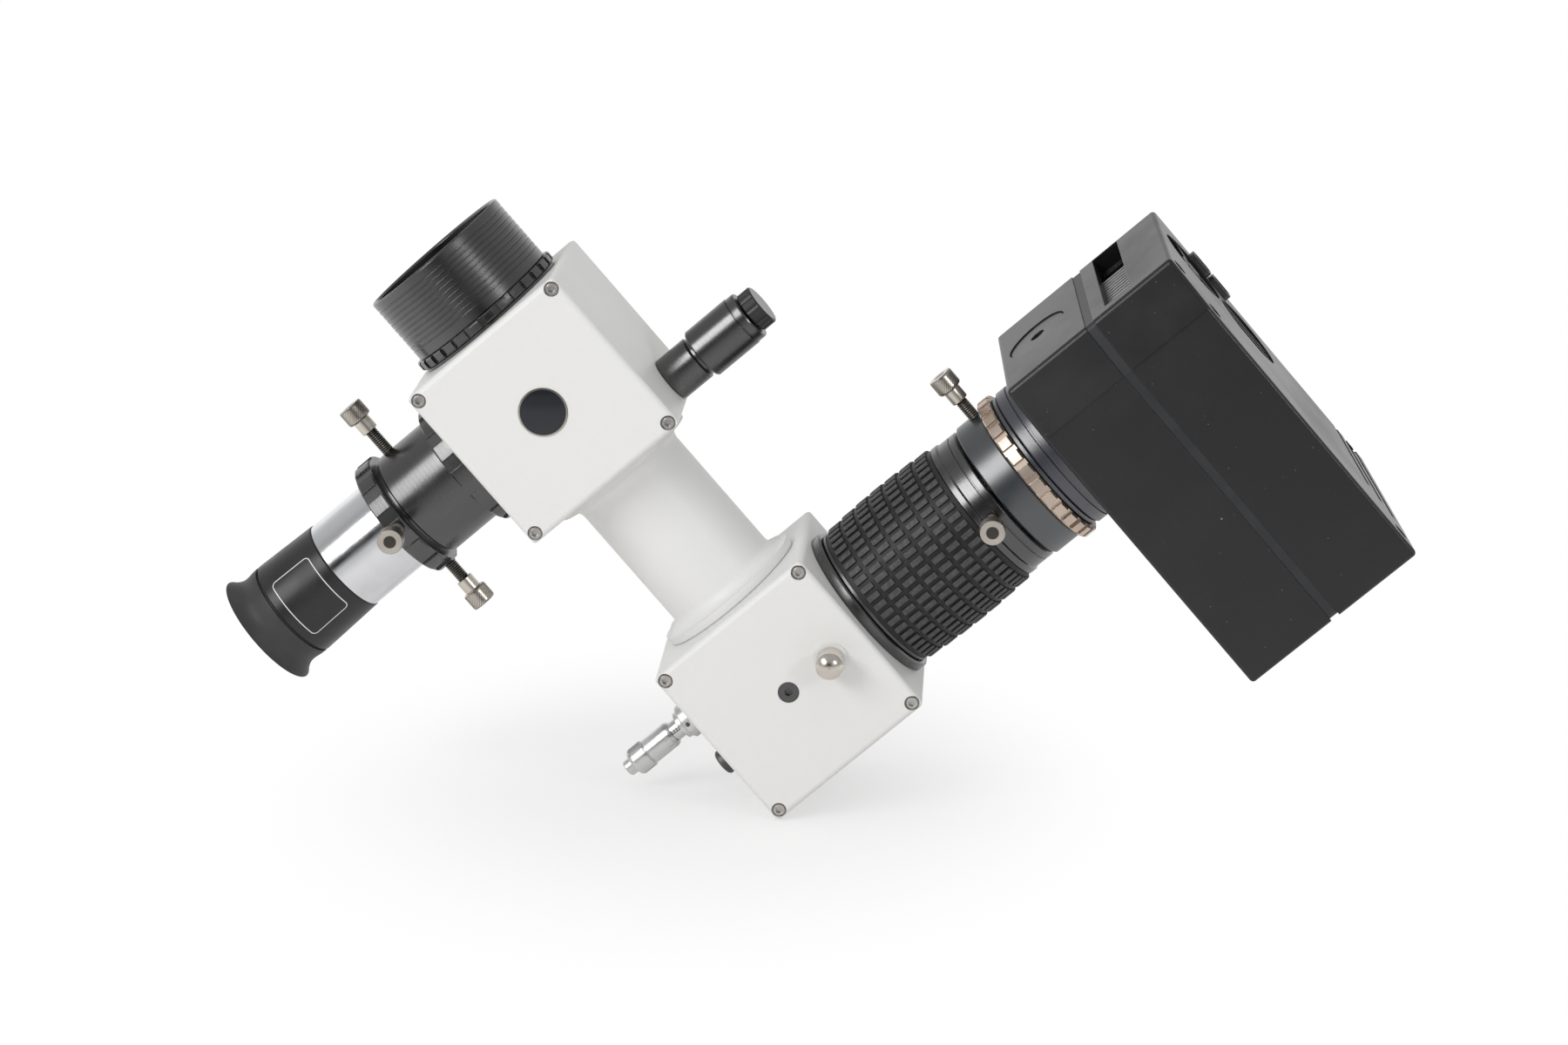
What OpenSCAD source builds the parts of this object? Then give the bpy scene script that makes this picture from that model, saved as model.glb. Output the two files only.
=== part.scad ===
// Slit spectrograph with field-finder eyepiece and cooled camera.
// Origin: on the light axis, at the shoulder where the nosepiece seats in a telescope.
// +Z points out of the nosepiece, +X towards the camera, -Y towards the front covers.

/* [Boxes] */
// Width and height of the slit box and of the grating box
box_w = 60; // [56:0.5:66]
// Depth of both boxes, front to back
box_d = 68; // [64:0.5:76]
// Wall of both boxes
box_wall = 5.6; // [5:0.1:7]
// Thickness of the front covers
cover_t = 3; // [2:0.1:5]
// Rounding of the outer edges of the boxes
edge_r = 2; // [1:0.1:3]
// Distance between the centres of the two boxes
box_pitch = 116.1; // [105:0.1:130]
// Spacing of the cover screws
screw_pitch = 54.4; // [50:0.1:56]
// Height of the nosepiece shoulder above the slit box
seat_h = 4.6; // [4.2:0.1:7]

/* [Nosepiece] */
// Outside diameter of the nosepiece
nose_d = 50.8; // [50.7:0.05:50.9]
// Length of the nosepiece from its shoulder
nose_l = 22.8; // [20:0.1:34]
// Bore of the filter thread at the mouth
filter_d = 47.5; // [46:0.1:48]
// Depth of the filter thread
filter_l = 6; // [4:0.5:8]
// Bore behind the filter thread
nose_bore_d = 45; // [42:0.1:46]
// Number of grip grooves around the nosepiece
groove_count = 10; // [4:1:11]
// Distance between the grip grooves
groove_pitch = 1.81; // [1.5:0.01:2]
// Land between the mouth and the first groove
groove_land = 2.8; // [2:0.1:4]
// Width of a grip groove
groove_w = 0.5; // [0.3:0.05:0.8]
// Depth of a grip groove
groove_t = 0.35; // [0.2:0.05:0.6]
// Diameter of the threaded stem below the shoulder
stem_d = 46; // [44:0.1:47]
// Light bore through the stem
stem_bore_d = 40; // [36:0.1:42]
// Diameter of the thin flange on the slit box
foot_d = 52; // [50:0.1:54]
// Thickness of the thin flange
foot_t = 0.9; // [0.6:0.1:1.2]
// Diameter of the spigot that enters the slit box
spigot_d = 44; // [42:0.1:46]
// Outside diameter of the notched lock ring
lock_d = 54; // [52:0.1:56]
// Number of notches around the lock ring
lock_notches = 30; // [12:1:40]

/* [Main tube] */
// Outside diameter of the tube between the boxes
tube_d = 38.5; // [36:0.1:42]
// Diameter of the flanges at both ends of the tube
flange_d = 50; // [46:0.1:54]
// Thickness of the rim of a tube flange
flange_rim_t = 2.9; // [2:0.1:5]
// Diameter of the spigots that enter the boxes
tube_spigot_d = 36; // [35:0.1:37]
// Length of the spigots that enter the boxes
tube_spigot_l = 5; // [3:0.1:5.5]
// Diameter of the collimator lens
collimator_d = 31; // [28:0.1:32]
// Light bore above the collimator lens
tube_bore_d = 29; // [24:0.1:30]
// Thickness of the collimator lens at its edge
collimator_t = 5; // [4:0.1:7]

/* [Eyepiece side] */
// Diameter of the notched ring on the slit box
port_ring_d = 44; // [42:0.1:46]
// Length of the notched ring on the slit box
port_ring_l = 8; // [6:0.1:10]
// Number of notches around the eyepiece rings
port_notches = 14; // [8:1:20]
// Outside diameter of the eyepiece holder
holder_d = 37.5; // [36:0.1:40]
// Length of the eyepiece holder beyond the notched ring
holder_l = 20; // [16:0.1:28]
// Diameter of the holder's stem in the slit box
holder_stem_d = 33.6; // [33:0.1:34.4]
// Outside diameter of the clamp ring
clamp_d = 42; // [40:0.1:44]
// Length of the clamp ring with its neck
clamp_l = 7.8; // [7:0.1:10]
// Length of the neck between the holder and the clamp ring
clamp_neck_l = 1.5; // [1:0.1:2]
// Diameter of that neck
clamp_neck_d = 35; // [34:0.1:36]
// Diameter of the eyepiece barrel
barrel_d = 31.75; // [31.7:0.01:31.8]
// Wall of the eyepiece barrel
barrel_wall = 1.3; // [1:0.1:2]
// Distance from the clamp ring to the eyepiece body
barrel_free_l = 23; // [20:0.1:28]
// Length of the barrel inside the holder
barrel_in_l = 17; // [14:0.1:20]
// Diameter of the eyepiece body next to the barrel
eye_body_d1 = 32.3; // [32:0.1:34]
// Diameter of the eyepiece body next to the eyecup
eye_body_d2 = 34; // [33:0.1:36]
// Length of the eyepiece body
eye_body_l = 22.4; // [20:0.1:28]
// Narrowest diameter of the rubber eyecup
cup_waist_d = 33.2; // [32:0.1:34]
// Diameter of the eyecup's rim
cup_rim_d = 38.6; // [36:0.1:42]
// Length of the eyecup
cup_l = 11.1; // [10:0.1:14]
// Wall of the eyecup
cup_wall = 1.8; // [1.2:0.1:2.5]
// Diameter of the relay lens in the holder
guide_lens_d = 28; // [24:0.1:29]

/* [Thumbscrews] */
// Diameter of the thread of the thumbscrews
thumb_thread_d = 4; // [3:0.1:4]
// Visible thread of the thumbscrew in the eyepiece holder
thumb_gap_l = 8.6; // [6:0.1:12]
// Visible thread of the other thumbscrews
thumb_short_gap_l = 6.6; // [4:0.1:8]
// Diameter of the smooth collar under the head
thumb_collar_d = 5.6; // [5:0.1:7]
// Length of the smooth collar
thumb_collar_l = 4.6; // [3:0.1:6]
// Diameter of the knurled head
thumb_head_d = 8.2; // [7:0.1:10]
// Length of the knurled head
thumb_head_l = 5.6; // [4:0.1:8]
// Number of knurls around a head
knurl_count = 26; // [16:1:32]
// Depth of the knurls
knurl_t = 0.22; // [0.1:0.01:0.3]

/* [Slit lamp] */
// Height of the lamp axis below the centre of the slit box
lamp_drop = 21.3; // [18:0.1:22]
// Diameter of the lamp socket
lamp_socket_d = 15; // [13:0.1:16]
// Length of the lamp socket
lamp_socket_l = 13; // [10:0.1:16]
// Diameter of the lamp body
lamp_body_d = 17.2; // [16:0.1:18]
// Length of the lamp body
lamp_body_l = 19.8; // [18:0.1:24]
// Length of the end ring of the lamp body
lamp_ring_l = 2.7; // [2:0.1:4]
// Diameter of the lamp knob
lamp_knob_d = 13.7; // [12:0.1:15]
// Length of the lamp knob
lamp_knob_l = 5; // [4:0.1:7]
// Diameter of the light-emitting diode
led_d = 5; // [3:0.1:5]

/* [Grating drive] */
// Side of the square grating
grating_w = 25; // [20:0.5:26]
// Thickness of the grating blank
grating_t = 6; // [4:0.1:7]
// Height of the micrometer axis above the pivot of the grating
drive_rise = 7.2; // [6:0.1:9]
// Depth of the spring plunger axis below the pivot
spring_drop = 10.8; // [9:0.1:12]
// Distance from the pivot to the lever's face
lever_reach = 19; // [18.5:0.1:20]
// Diameter of the micrometer spindle
spindle_d = 4; // [3:0.1:5]
// Diameter of the micrometer sleeve
sleeve_d = 6.6; // [6:0.1:7]
// Diameter of the thimble's scale
thimble_d = 8.7; // [8.6:0.1:10]
// Length of the thimble's scale
thimble_l = 10; // [8:0.1:12]
// Diameter of the thimble's knurled end
thimble_grip_d = 9.7; // [9:0.1:11]
// Length of the thimble's knurled end
thimble_grip_l = 6.4; // [5:0.1:8]
// Diameter of the friction cap
ratchet_d = 5.5; // [4:0.1:7]
// Length of the friction cap
ratchet_l = 2.9; // [2:0.1:5]
// Diameter of the bushing's flange
bushing_d = 12; // [11:0.1:13]
// Diameter of the spring plug
plug_d = 8.6; // [8:0.1:9]
// Height of the spring plug outside the box
plug_l = 9.2; // [4:0.1:10]
// Distance of the lock knob from the pivot
lock_knob_x = 17.1; // [14:0.1:19]
// Diameter of the lock knob
lock_knob_d = 8.5; // [7:0.1:10]
// Length of the lock knob
lock_knob_l = 11.6; // [9:0.1:14]
// Diameter of the washer under the lock knob
washer_d = 10.7; // [9.5:0.1:12]

/* [Focuser] */
// Diameter of the focuser's base ring
base_d = 53.3; // [50:0.1:56]
// Thickness of the base ring
base_t = 3.4; // [3:0.1:5]
// Diameter of the rubber grip at its ends
grip_end_d = 51.2; // [49:0.1:52]
// Extra diameter of the grip at its middle
grip_swell = 1.8; // [0.5:0.1:3]
// Length of the focus grip
grip_l = 42.8; // [38:0.1:48]
// Height of the lugs on the rubber
lug_h = 0.7; // [0.4:0.05:1]
// Number of lugs around the grip
lug_around = 48; // [24:1:52]
// Number of rows of lugs along the grip
lug_rows = 7; // [5:1:9]
// Gap between neighbouring lugs
lug_gap = 1.5; // [1:0.1:2]
// Plain margin at each end of the rubber
lug_margin = 0.8; // [0.4:0.1:2]
// Diameter of the guide tube inside the grip
guide_d = 40; // [38:0.1:41]
// Outside diameter of the sliding drawtube
draw_d = 35; // [34:0.1:36]
// Light bore of the drawtube
draw_bore_d = 30; // [28:0.1:31]
// Diameter of the front collar
collar_d = 49; // [48:0.1:50]
// Length of the front collar
collar_l = 9; // [8:0.1:11]
// Gap between the front collar and the camera collar at rest
focus_gap = 0.8; // [0.6:0.1:2]
// Diameter of the camera collar
camera_collar_d = 50; // [49:0.1:51]
// Length of the camera collar
camera_collar_l = 11; // [10:0.1:13]
// Diameter of the bronze changer ring
changer_d = 54; // [52:0.1:56]
// Length of the changer ring
changer_l = 4.8; // [4:0.1:6]
// Diameter of the camera's adapter ring
adapter_d = 51.4; // [50:0.1:53]
// Length of the adapter ring up to the camera
adapter_l = 7.7; // [6:0.1:10]
// Diameter of the adapter's spigot
adapter_spigot_d = 42; // [41:0.1:43]
// Light bore of the adapter
adapter_bore_d = 36; // [32:0.1:38]

/* [Camera] */
// Length of the camera body along the light path
cam_l = 64.7; // [60:0.1:72]
// Wall of the camera's housing shells
cam_wall = 3; // [2.5:0.1:4]
// Distance from the light axis to the camera's near side
cam_near = 35; // [33:0.1:38]
// Distance from the light axis to the camera's far side
cam_far = 36.4; // [34:0.1:40]
// Height of the far top edge above the light axis
cam_top = 34.1; // [32:0.1:38]
// Drop of the top face from the far to the near side
top_fall = 4.8; // [2:0.1:7]
// Setback of the slanted face at the near top edge
slant_in = 4.9; // [3:0.1:8]
// Height of the slanted face
slant_h = 18.6; // [14:0.1:22]
// Depth of the near bottom edge below the light axis
cam_bottom = 89.6; // [84:0.1:96]
// Rise of the bottom face from the near to the far side
bottom_rise = 17.4; // [12:0.1:22]
// Length of the front housing shell
front_l = 31.2; // [28:0.1:36]
// Thickness of the middle plate
mid_t = 3.2; // [2:0.1:4]
// Inset of the middle plate's edge
mid_inset = 0.25; // [0.1:0.05:1]
// Diameter of the two round openings at the back
port_d = 26; // [22:0.5:26]
// Width of the vent in the top face
vent_w = 10; // [8:0.5:12]
// Diameter of the tripod boss
tripod_boss_d = 21; // [18:0.5:24]
// Core diameter of the tripod thread
tripod_d = 5.1; // [5:0.05:5.5]
// Depth of the tripod thread
tripod_l = 8; // [6:0.5:10]
// Depth of the tripod boss below the top face
boss_sink = 0.4; // [0.2:0.1:1]
// Open gap around the tripod boss
boss_gap = 0.35; // [0.2:0.05:0.6]

/* [Fits] */
// Radial clearance of parts that turn or slide in each other
run = 0.05; // [0.02:0.01:0.08]
// Gap between faces of parts that move past each other
gap = 0.3; // [0.2:0.05:0.6]

/* [Hidden] */
$fn = 96;

// Clearance of parts that are fixed inside each other
fixed = 0.02;
// Overlap that keeps cuts open
cut = 1;

// Heights of the two box centres and of the faces around them
slit_z = -seat_h - box_w / 2;
grating_z = slit_z - box_pitch;
tube_top = slit_z - box_w / 2;
tube_foot = grating_z + box_w / 2;
front_y = -box_d / 2;
seam_y = front_y + cover_t;
room_w = box_w - 2 * box_wall;
room_back = box_d / 2 - box_wall;
room_d = room_back - seam_y;

// Cover screws
screw_d = 2.5;
screw_head_d = 3.8;
screw_head_t = 1.7;
screw_sink_t = 2;
screw_sink_d = 4.7;
screw_in_l = 5;
screw_hex = 2.3;
screw_hex_t = 1.1;
screw_bevel = 0.3;

// Badge
badge_d = 15.2;
badge_t = 1.3;
badge_sink = 0.5;
badge_rise = 0.5;

// Nosepiece
mouth_chamfer = 0.6;
rim_t = 0.5;
lock_t = seat_h - foot_t - 2 * gap;
notch_w = 2.1;
notch_t = 0.9;
port_notch_w = 4.4;
port_notch_t = 0.7;
port_foot_d = 41;
port_foot_l = 2;
stem_shoulder_z = 4;

// Slit carrier and slit
plate_t = 3;
plate_half = 22;
carrier_w = 36;
window_d = 15;
slit_plate_d = 20;
slit_plate_t = 1;
slit_w = 0.3;
slit_l = 8;

// Eyepiece side, distances from the light axis along -X
ring_x = box_w / 2 + port_ring_l;
holder_x = ring_x + holder_l;
clamp_x = holder_x + clamp_l;
eye_x = clamp_x + barrel_free_l;
eye_end_x = eye_x + eye_body_l;
cup_x = eye_end_x + cup_l;
holder_step_x = 40;
lens_seat_x = 36;
guide_bore_d = guide_lens_d - 2;
guide_lens_t = 4;
holder_screw_x = holder_x - 4.5;
clamp_screw_x = holder_x + clamp_neck_l + (clamp_l - clamp_neck_l) / 2;
stub_d = 30;
stub_l = 4.2;
stub_wall = 1.5;
field_lens_d = 21;
field_lens_round = 25;
field_lens_t = 4;
eye_lens_d = 21;
eye_lens_t = 3.5;
eye_stop_d = 19;
eye_stop_l = 11;
cup_seat_d = 29;
cup_seat_l = 5.8;
cup_groove = 0.5;
waist_at = 5.6;

// Thumbscrew
thumb_bevel = 0.5;
thumb_dome = 0.4;
tip_gap = 0.35;

// Slit lamp
lamp_z = slit_z - lamp_drop;
lamp_x = box_w / 2;
lamp_stem_d = 8;
lamp_neck_d = 13;
lamp_neck_l = 1.2;
led_flange_d = 5.8;
led_flange_t = 1;
led_room_d = 6.4;
led_reach = 10;
lead_d = 0.5;
lead_pitch = 1.27;
lead_hole_d = 4;
lamp_bore_d = 12;
lamp_floor = 1.5;
cell_d = 11.6;
cell_t = 10.4;
cell_nub_d = 8;
cell_nub_t = 0.4;
lamp_shaft_d = 6;
lamp_groove_d = 16;
lamp_groove_w = 0.5;
lamp_body_x = lamp_x + lamp_socket_l;
lamp_end_x = lamp_body_x + lamp_body_l;

// Main tube
tube_l = tube_top - tube_foot;
flare_l = 4;
flare_steps = 8;
seat_l = 10;
collimator_round = 60;
lens_rim = 1.2;

// Grating drive
pivot_d = 3;
pivot_l = 4;
insert_d = 6.7;
insert_hole_d = 2.7;
insert_sink = 0.3;
cheek_t = 3;
cheek_d = 12;
cheek_gap = 0.5;
back_plate_t = 5;
back_plate_w = 28;
lever_t = 3.5;
lever_w = 10;
lever_top = 10.5;
lever_bottom = 14;
web_rise = 2.5;
web_l = 12.5;
web_h = 7.5;
lock_arm_w = 8;
lock_arm_x = 20;
lock_thread_d = 4;
lock_base_l = 3.4;
lock_tip_l = 1;
lock_dome_r = lock_knob_d / 2 + 1;
drive_z = grating_z + drive_rise;
spring_z = grating_z - spring_drop;
bushing_l = 9.5;
bushing_neck_d = 9.5;
bushing_neck_l = 1.5;
bushing_stem_d = 9;
bushing_hole_d = 1.5;
bushing_hole_in = 1.6;
sleeve_lip = 1;
sleeve_end_x = 52.5;
sleeve_stop = 1.6;
thimble_x = 44.6;
thimble_end_x = thimble_x + thimble_l + thimble_grip_l;
thimble_bevel = 1;
spindle_hub_x = thimble_end_x - 1.5;
plug_stem_d = 7.6;
plug_wall = 2.2;
plunger_d = 4.9;
plunger_back_x = 31.5;
spring_wire = 0.6;
spring_d = 4;
spring_turns = 4;
spring_l = 3.8;
plug_slot_w = 1;
plug_slot_t = 0.8;

// Focuser, distances from the light axis along +X
base_x = box_w / 2 + base_t;
base_spigot_d = 40;
grip_x = base_x + gap;
grip_end_x = grip_x + grip_l + 1.1;
grip_core_d = 46.4;
grip_lip_t = 1;
grip_recess_d = 43.6;
grip_recess_x = 54;
grip_recess_l = 15;
collar_x = grip_end_x + gap;
collar_end_x = collar_x + collar_l + 0.4;
collar_stop_l = 3.2;
collar_groove_w = 0.6;
collar_groove_t = 0.4;
collar_groove_l = 0.6;
collar_land_l = 2;
collar_lip_l = 2;
collar_lip_slope = 0.5;
lock_screw_x = 82.5;
camera_collar_x = collar_end_x + focus_gap;
camera_collar_end_x = camera_collar_x + camera_collar_l - 1.2;
draw_x = 36;
draw_end_x = 93;
pin_d = 4;
pin_x = 57.5;
pin_r = 21.4;
slot_x = 55;
slot_l = 13.5;
objective_x = 44;
objective_t = 5;
objective_round = 40;
objective_wall = 1;
stub_ring_d = 46;
stub_ring_l = 6.4;
stub_rim_d = 50;
stub_rim_t = 1.2;
socket_l = 8.2;
clamp4_x = 95.6;
changer_x = camera_collar_end_x + gap;
adapter_x = camera_collar_end_x + stub_ring_l + gap;
adapter_spigot_l = 8;
adapter_groove_t = 0.5;
adapter_groove_w = 0.8;
camera_x = adapter_x + adapter_l;

// Camera
camera_end_x = camera_x + cam_l;
mid_x = camera_x + front_l;
rear_x = mid_x + mid_t;
corner_r = 2;
corner_steps = 6;
top_angle = atan(top_fall / (cam_far + cam_near - slant_in));
bottom_angle = atan(bottom_rise / (cam_far + cam_near));
port_y = 14;
port_z_up = 15.5;
port_z_low = -11.5;
bar_w = 1.2;
bar_t = 2;
vent_x = rear_x + 5.1;
vent_near = -24.7;
boss_x = 126.8;
boss_y = 4.5;
boss_flange_d = 22.6;
boss_flange_t = 1.5;
boss_core_d = 12;
fin_t = 2;
fin_pitch = 3;
fin_count = 14;
fin_l = 15.6;
fin_bottom = -40;
slot_count = 3;
slot_in = -54;
slot_shift = 5;
slot_rise = 4;
slot_w = 2;
slot_pitch = 4.6;
board_x = 128;
board_t = 1.6;
board_near = -28;
board_far = 20;
chip_w = 15.6;
chip_h = 12.4;
chip_t = 2;
post_d = 4;
post_at = 16;
fan_d = 23.4;
fan_hub_d = 11;
fan_blades = 7;
fan_blade_t = 1;
fan_pitch = 35;
fan_t = 6;
fan_shaft_d = 3;
fan_x = 164.5;
shroud_d = 24.6;
shroud_wall = 0.9;
spoke_w = 1.6;
bearing_d = 9;
bearing_t = 2;
shutter_y = -24;
shutter_z = -22;
mid_hole_d = 6;
shroud_lead = 1;
bearing_in = 0.5;
bar_bite = 0.3;
fan_shaft_in = 0.8;
shutter_r = 11;
shutter_t = 0.8;
shutter_pin_d = 2;
shutter_hub_d = 5;
shutter_x = 121.2;
shutter_rest = -28;
connector_y = 30.6;
connector_z = [11.8, 2.2];
connector_l = 8.8;
connector_w = 7.4;
connector_rise = 1.6;
connector_wall = 0.9;
connector_hollow_t = 1;
connector_stem_d = 5;
rear_screw_at = [[-25, 24.5], [-29, 8], [-29, -82], [31, -65]];
rear_screw_d = 5.6;
rear_screw_t = 1.6;

// Turned shape from a profile of [radius, height] points
module turned(profile) rotate_extrude() polygon(profile);

// Plain ring standing on the XY plane
module ring(d, bore, h) difference() {
    cylinder(d = d, h = h);
    translate([0, 0, -cut]) cylinder(d = bore, h = h + 2 * cut);
}

// Ring with radial notches and bevelled rims
module castle_ring(d, bore, h, notches, w, t) difference() {
    turned([[bore / 2, 0], [d / 2 - rim_t, 0], [d / 2, rim_t], [d / 2, h - rim_t], [d / 2 - rim_t, h],
        [bore / 2, h]]);
    for (i = [0:notches - 1]) rotate(i * 360 / notches)
        translate([d / 2 - t, -w / 2, -cut]) cube([t + cut, w, h + 2 * cut]);
}

// Knurled drum with bevelled rims
module knurled(d, h, count, depth, bevel) intersection() {
    linear_extrude(h) polygon([for (i = [0:2 * count - 1])
        (d / 2 - (i % 2) * depth) * [cos(i * 180 / count), sin(i * 180 / count)]]);
    turned([[0, 0], [d / 2 - bevel, 0], [d / 2 + cut, bevel + cut], [d / 2 + cut, h - bevel - cut],
        [d / 2 - bevel, h], [0, h]]);
}

// Biconvex lens with a flat bevel at its rim, standing on the XY plane with its edge
module lens(d, t, round) {
    cylinder(d = d, h = t);
    translate([0, 0, t / 2]) intersection() {
        cylinder(d = d - 2 * lens_rim, h = 2 * d, center = true);
        translate([0, 0, dome_drop(d, t, round)]) sphere(round);
        translate([0, 0, -dome_drop(d, t, round)]) sphere(round);
    }
}
function dome_drop(d, t, round) = sqrt(round * round - pow(d / 2 - lens_rim, 2)) - t / 2;

// Directions in which turned parts point
module to_camera(x) translate([x, 0, grating_z]) rotate([0, 90, 0]) children();
module to_eye(x) translate([-x, 0, slit_z]) rotate([0, -90, 0]) children();
module to_front() rotate([90, 0, 0]) children();

// Rounded rectangle centred on the origin
module rounded(w, h) {
    square([w - 2 * edge_r, h], center = true);
    square([w, h - 2 * edge_r], center = true);
    for (x = [-1, 1], y = [-1, 1]) translate([x * (w / 2 - edge_r), y * (h / 2 - edge_r)]) circle(edge_r);
}

// Box outline with all edges rounded
module block() intersection() {
    linear_extrude(box_w, center = true) rounded(box_w, box_d);
    rotate([90, 0, 0]) linear_extrude(box_d, center = true) rounded(box_w, box_w);
    rotate([90, 0, 90]) linear_extrude(box_w, center = true) rounded(box_d, box_w);
}

// Places of the four cover screws
module at_screws() for (x = [-1, 1], z = [-1, 1])
    translate([x * screw_pitch / 2, 0, z * screw_pitch / 2]) children();

// Open box without its ports
module housing() difference() {
    block();
    translate([-box_w, front_y - cut, -box_w]) cube([2 * box_w, cover_t + cut, 2 * box_w]);
    translate([-room_w / 2, seam_y - cut, -room_w / 2]) cube([room_w, room_d + cut, room_w]);
    at_screws() translate([0, seam_y + screw_in_l, 0]) to_front()
        cylinder(d = screw_d + 2 * fixed, h = screw_in_l + cut);
}

// Cover with sunk screw holes
module cover() difference() {
    intersection() {
        block();
        translate([-box_w, front_y - cut, -box_w]) cube([2 * box_w, cover_t + cut, 2 * box_w]);
    }
    at_screws() translate([0, seam_y + cut, 0]) to_front() {
        cylinder(d = screw_d + 2 * fixed, h = cover_t + 2 * cut);
        translate([0, 0, cut + cover_t - screw_sink_t]) cylinder(d = screw_sink_d, h = screw_sink_t + cut);
    }
}

// Thumbscrew pointing along +Z, its tip at the given distance
module thumbscrew(tip, face, gap_l) {
    translate([0, 0, tip]) cylinder(d = thumb_thread_d, h = face + gap_l - tip);
    translate([0, 0, face + gap_l]) cylinder(d = thumb_collar_d, h = thumb_collar_l);
    translate([0, 0, face + gap_l + thumb_collar_l])
        knurled(thumb_head_d, thumb_head_l, knurl_count, knurl_t, thumb_bevel);
    translate([0, 0, face + gap_l + thumb_collar_l + thumb_head_l])
        cylinder(d1 = thumb_collar_d, d2 = thumb_collar_d - 2 * thumb_dome, h = thumb_dome);
}
module thumb_hole(r) cylinder(d = thumb_thread_d + 2 * run, h = r);

// Nosepiece with grip grooves, threaded mouth, stem and spigot
module nosepiece() color("#1b1c1e") {
    r = nose_d / 2;
    turned(concat(
        [[stem_bore_d / 2, -seat_h - box_wall], [spigot_d / 2, -seat_h - box_wall], [spigot_d / 2, -seat_h],
            [foot_d / 2, -seat_h], [foot_d / 2, -seat_h + foot_t], [stem_d / 2, -seat_h + foot_t],
            [stem_d / 2, 0], [r, 0]],
        [for (i = [groove_count - 1:-1:0]) let (z = nose_l - groove_land - i * groove_pitch)
            each [[r, z - groove_w], [r - groove_t, z - groove_w], [r - groove_t, z], [r, z]]],
        [[r, nose_l - rim_t], [r - rim_t, nose_l], [filter_d / 2 + mouth_chamfer, nose_l],
            [filter_d / 2, nose_l - mouth_chamfer], [filter_d / 2, nose_l - filter_l],
            [nose_bore_d / 2, nose_l - filter_l], [nose_bore_d / 2, stem_shoulder_z],
            [stem_bore_d / 2, stem_shoulder_z - 1]]));
}

module lock_ring() color("#191a1c") translate([0, 0, -gap - lock_t])
    castle_ring(lock_d, stem_d + 2 * run, lock_t, lock_notches, notch_w, notch_t);

module slit_box() color("#e3e0dc") difference() {
    translate([0, 0, slit_z]) housing();
    translate([0, 0, -seat_h - box_wall - cut]) cylinder(d = spigot_d + 2 * fixed, h = box_wall + 2 * cut);
    to_eye(0) cylinder(d = holder_stem_d + 2 * fixed, h = box_w);
    translate([0, 0, lamp_z]) rotate([0, 90, 0]) cylinder(d = lamp_stem_d + 2 * fixed, h = box_w);
    translate([0, 0, tube_top - cut]) cylinder(d = tube_bore_d, h = box_wall + 2 * cut);
    translate([0, 0, tube_top - cut]) cylinder(d = tube_spigot_d + 2 * fixed, h = tube_spigot_l + cut);
}

module slit_box_cover() color("#e5e2de") difference() {
    translate([0, 0, slit_z]) cover();
    translate([0, front_y + badge_sink, slit_z]) to_front()
        cylinder(d = badge_d + 2 * run, h = badge_sink + cut);
}

// Domed badge without any marking
module badge() color("#20242a") translate([0, front_y + badge_sink, slit_z]) to_front()
    turned(concat([[0, 0], [badge_d / 2, 0]],
        [for (i = [flare_steps:-1:0])
            let (r = badge_d / 2 * i / flare_steps) [r, badge_t - badge_rise * pow(i / flare_steps, 2)]]));

module cover_screws() color("#b9b6b0") for (z = [slit_z, grating_z]) translate([0, 0, z]) at_screws()
    difference() {
        translate([0, front_y + screw_sink_t, 0]) to_front() {
            turned([[0, 0], [screw_head_d / 2, 0], [screw_head_d / 2, screw_head_t - screw_bevel],
                [screw_head_d / 2 - screw_bevel, screw_head_t], [0, screw_head_t]]);
            translate([0, 0, -cover_t + screw_sink_t - screw_in_l + run])
                cylinder(d = screw_d, h = cover_t - screw_sink_t + screw_in_l);
        }
        translate([0, front_y + screw_sink_t - screw_head_t + screw_hex_t, 0]) to_front()
            cylinder(d = screw_hex, h = screw_hex_t + cut, $fn = 6);
    }

// Sloped frame that holds the slit plate across the light axis
module slit_carrier() color("#26272a") translate([0, 0, slit_z]) difference() {
    k = plate_half / sqrt(2);
    w = plate_t / sqrt(2);
    rotate([90, 0, 0]) linear_extrude(carrier_w, center = true)
        polygon([[-room_w / 2, -room_w / 2], [-k, -room_w / 2], [-k + w, -k - w], [k + w, k - w], [k, k],
            [-k, -k], [-room_w / 2, -k]]);
    rotate([0, -45, 0]) {
        translate([0, 0, -plate_t - cut]) cylinder(d = window_d, h = plate_t + 2 * cut);
        translate([0, 0, -slit_plate_t]) cylinder(d = slit_plate_d + 2 * fixed, h = slit_plate_t + cut);
    }
}

// Mirrored disc with the slit
module slit_plate() color("#c9ced2") translate([0, 0, slit_z]) rotate([0, -45, 0]) difference() {
    translate([0, 0, -slit_plate_t]) cylinder(d = slit_plate_d, h = slit_plate_t);
    translate([-slit_w / 2, -slit_l / 2, -slit_plate_t - cut])
        cube([slit_w, slit_l, slit_plate_t + 2 * cut]);
}

module holder_ring() color("#17181a") {
    to_eye(box_w / 2) ring(port_foot_d, holder_stem_d + 2 * fixed, port_foot_l);
    to_eye(box_w / 2 + port_foot_l)
        castle_ring(port_ring_d, holder_stem_d + 2 * fixed, port_ring_l - port_foot_l,
        port_notches, port_notch_w, port_notch_t);
}

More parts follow.
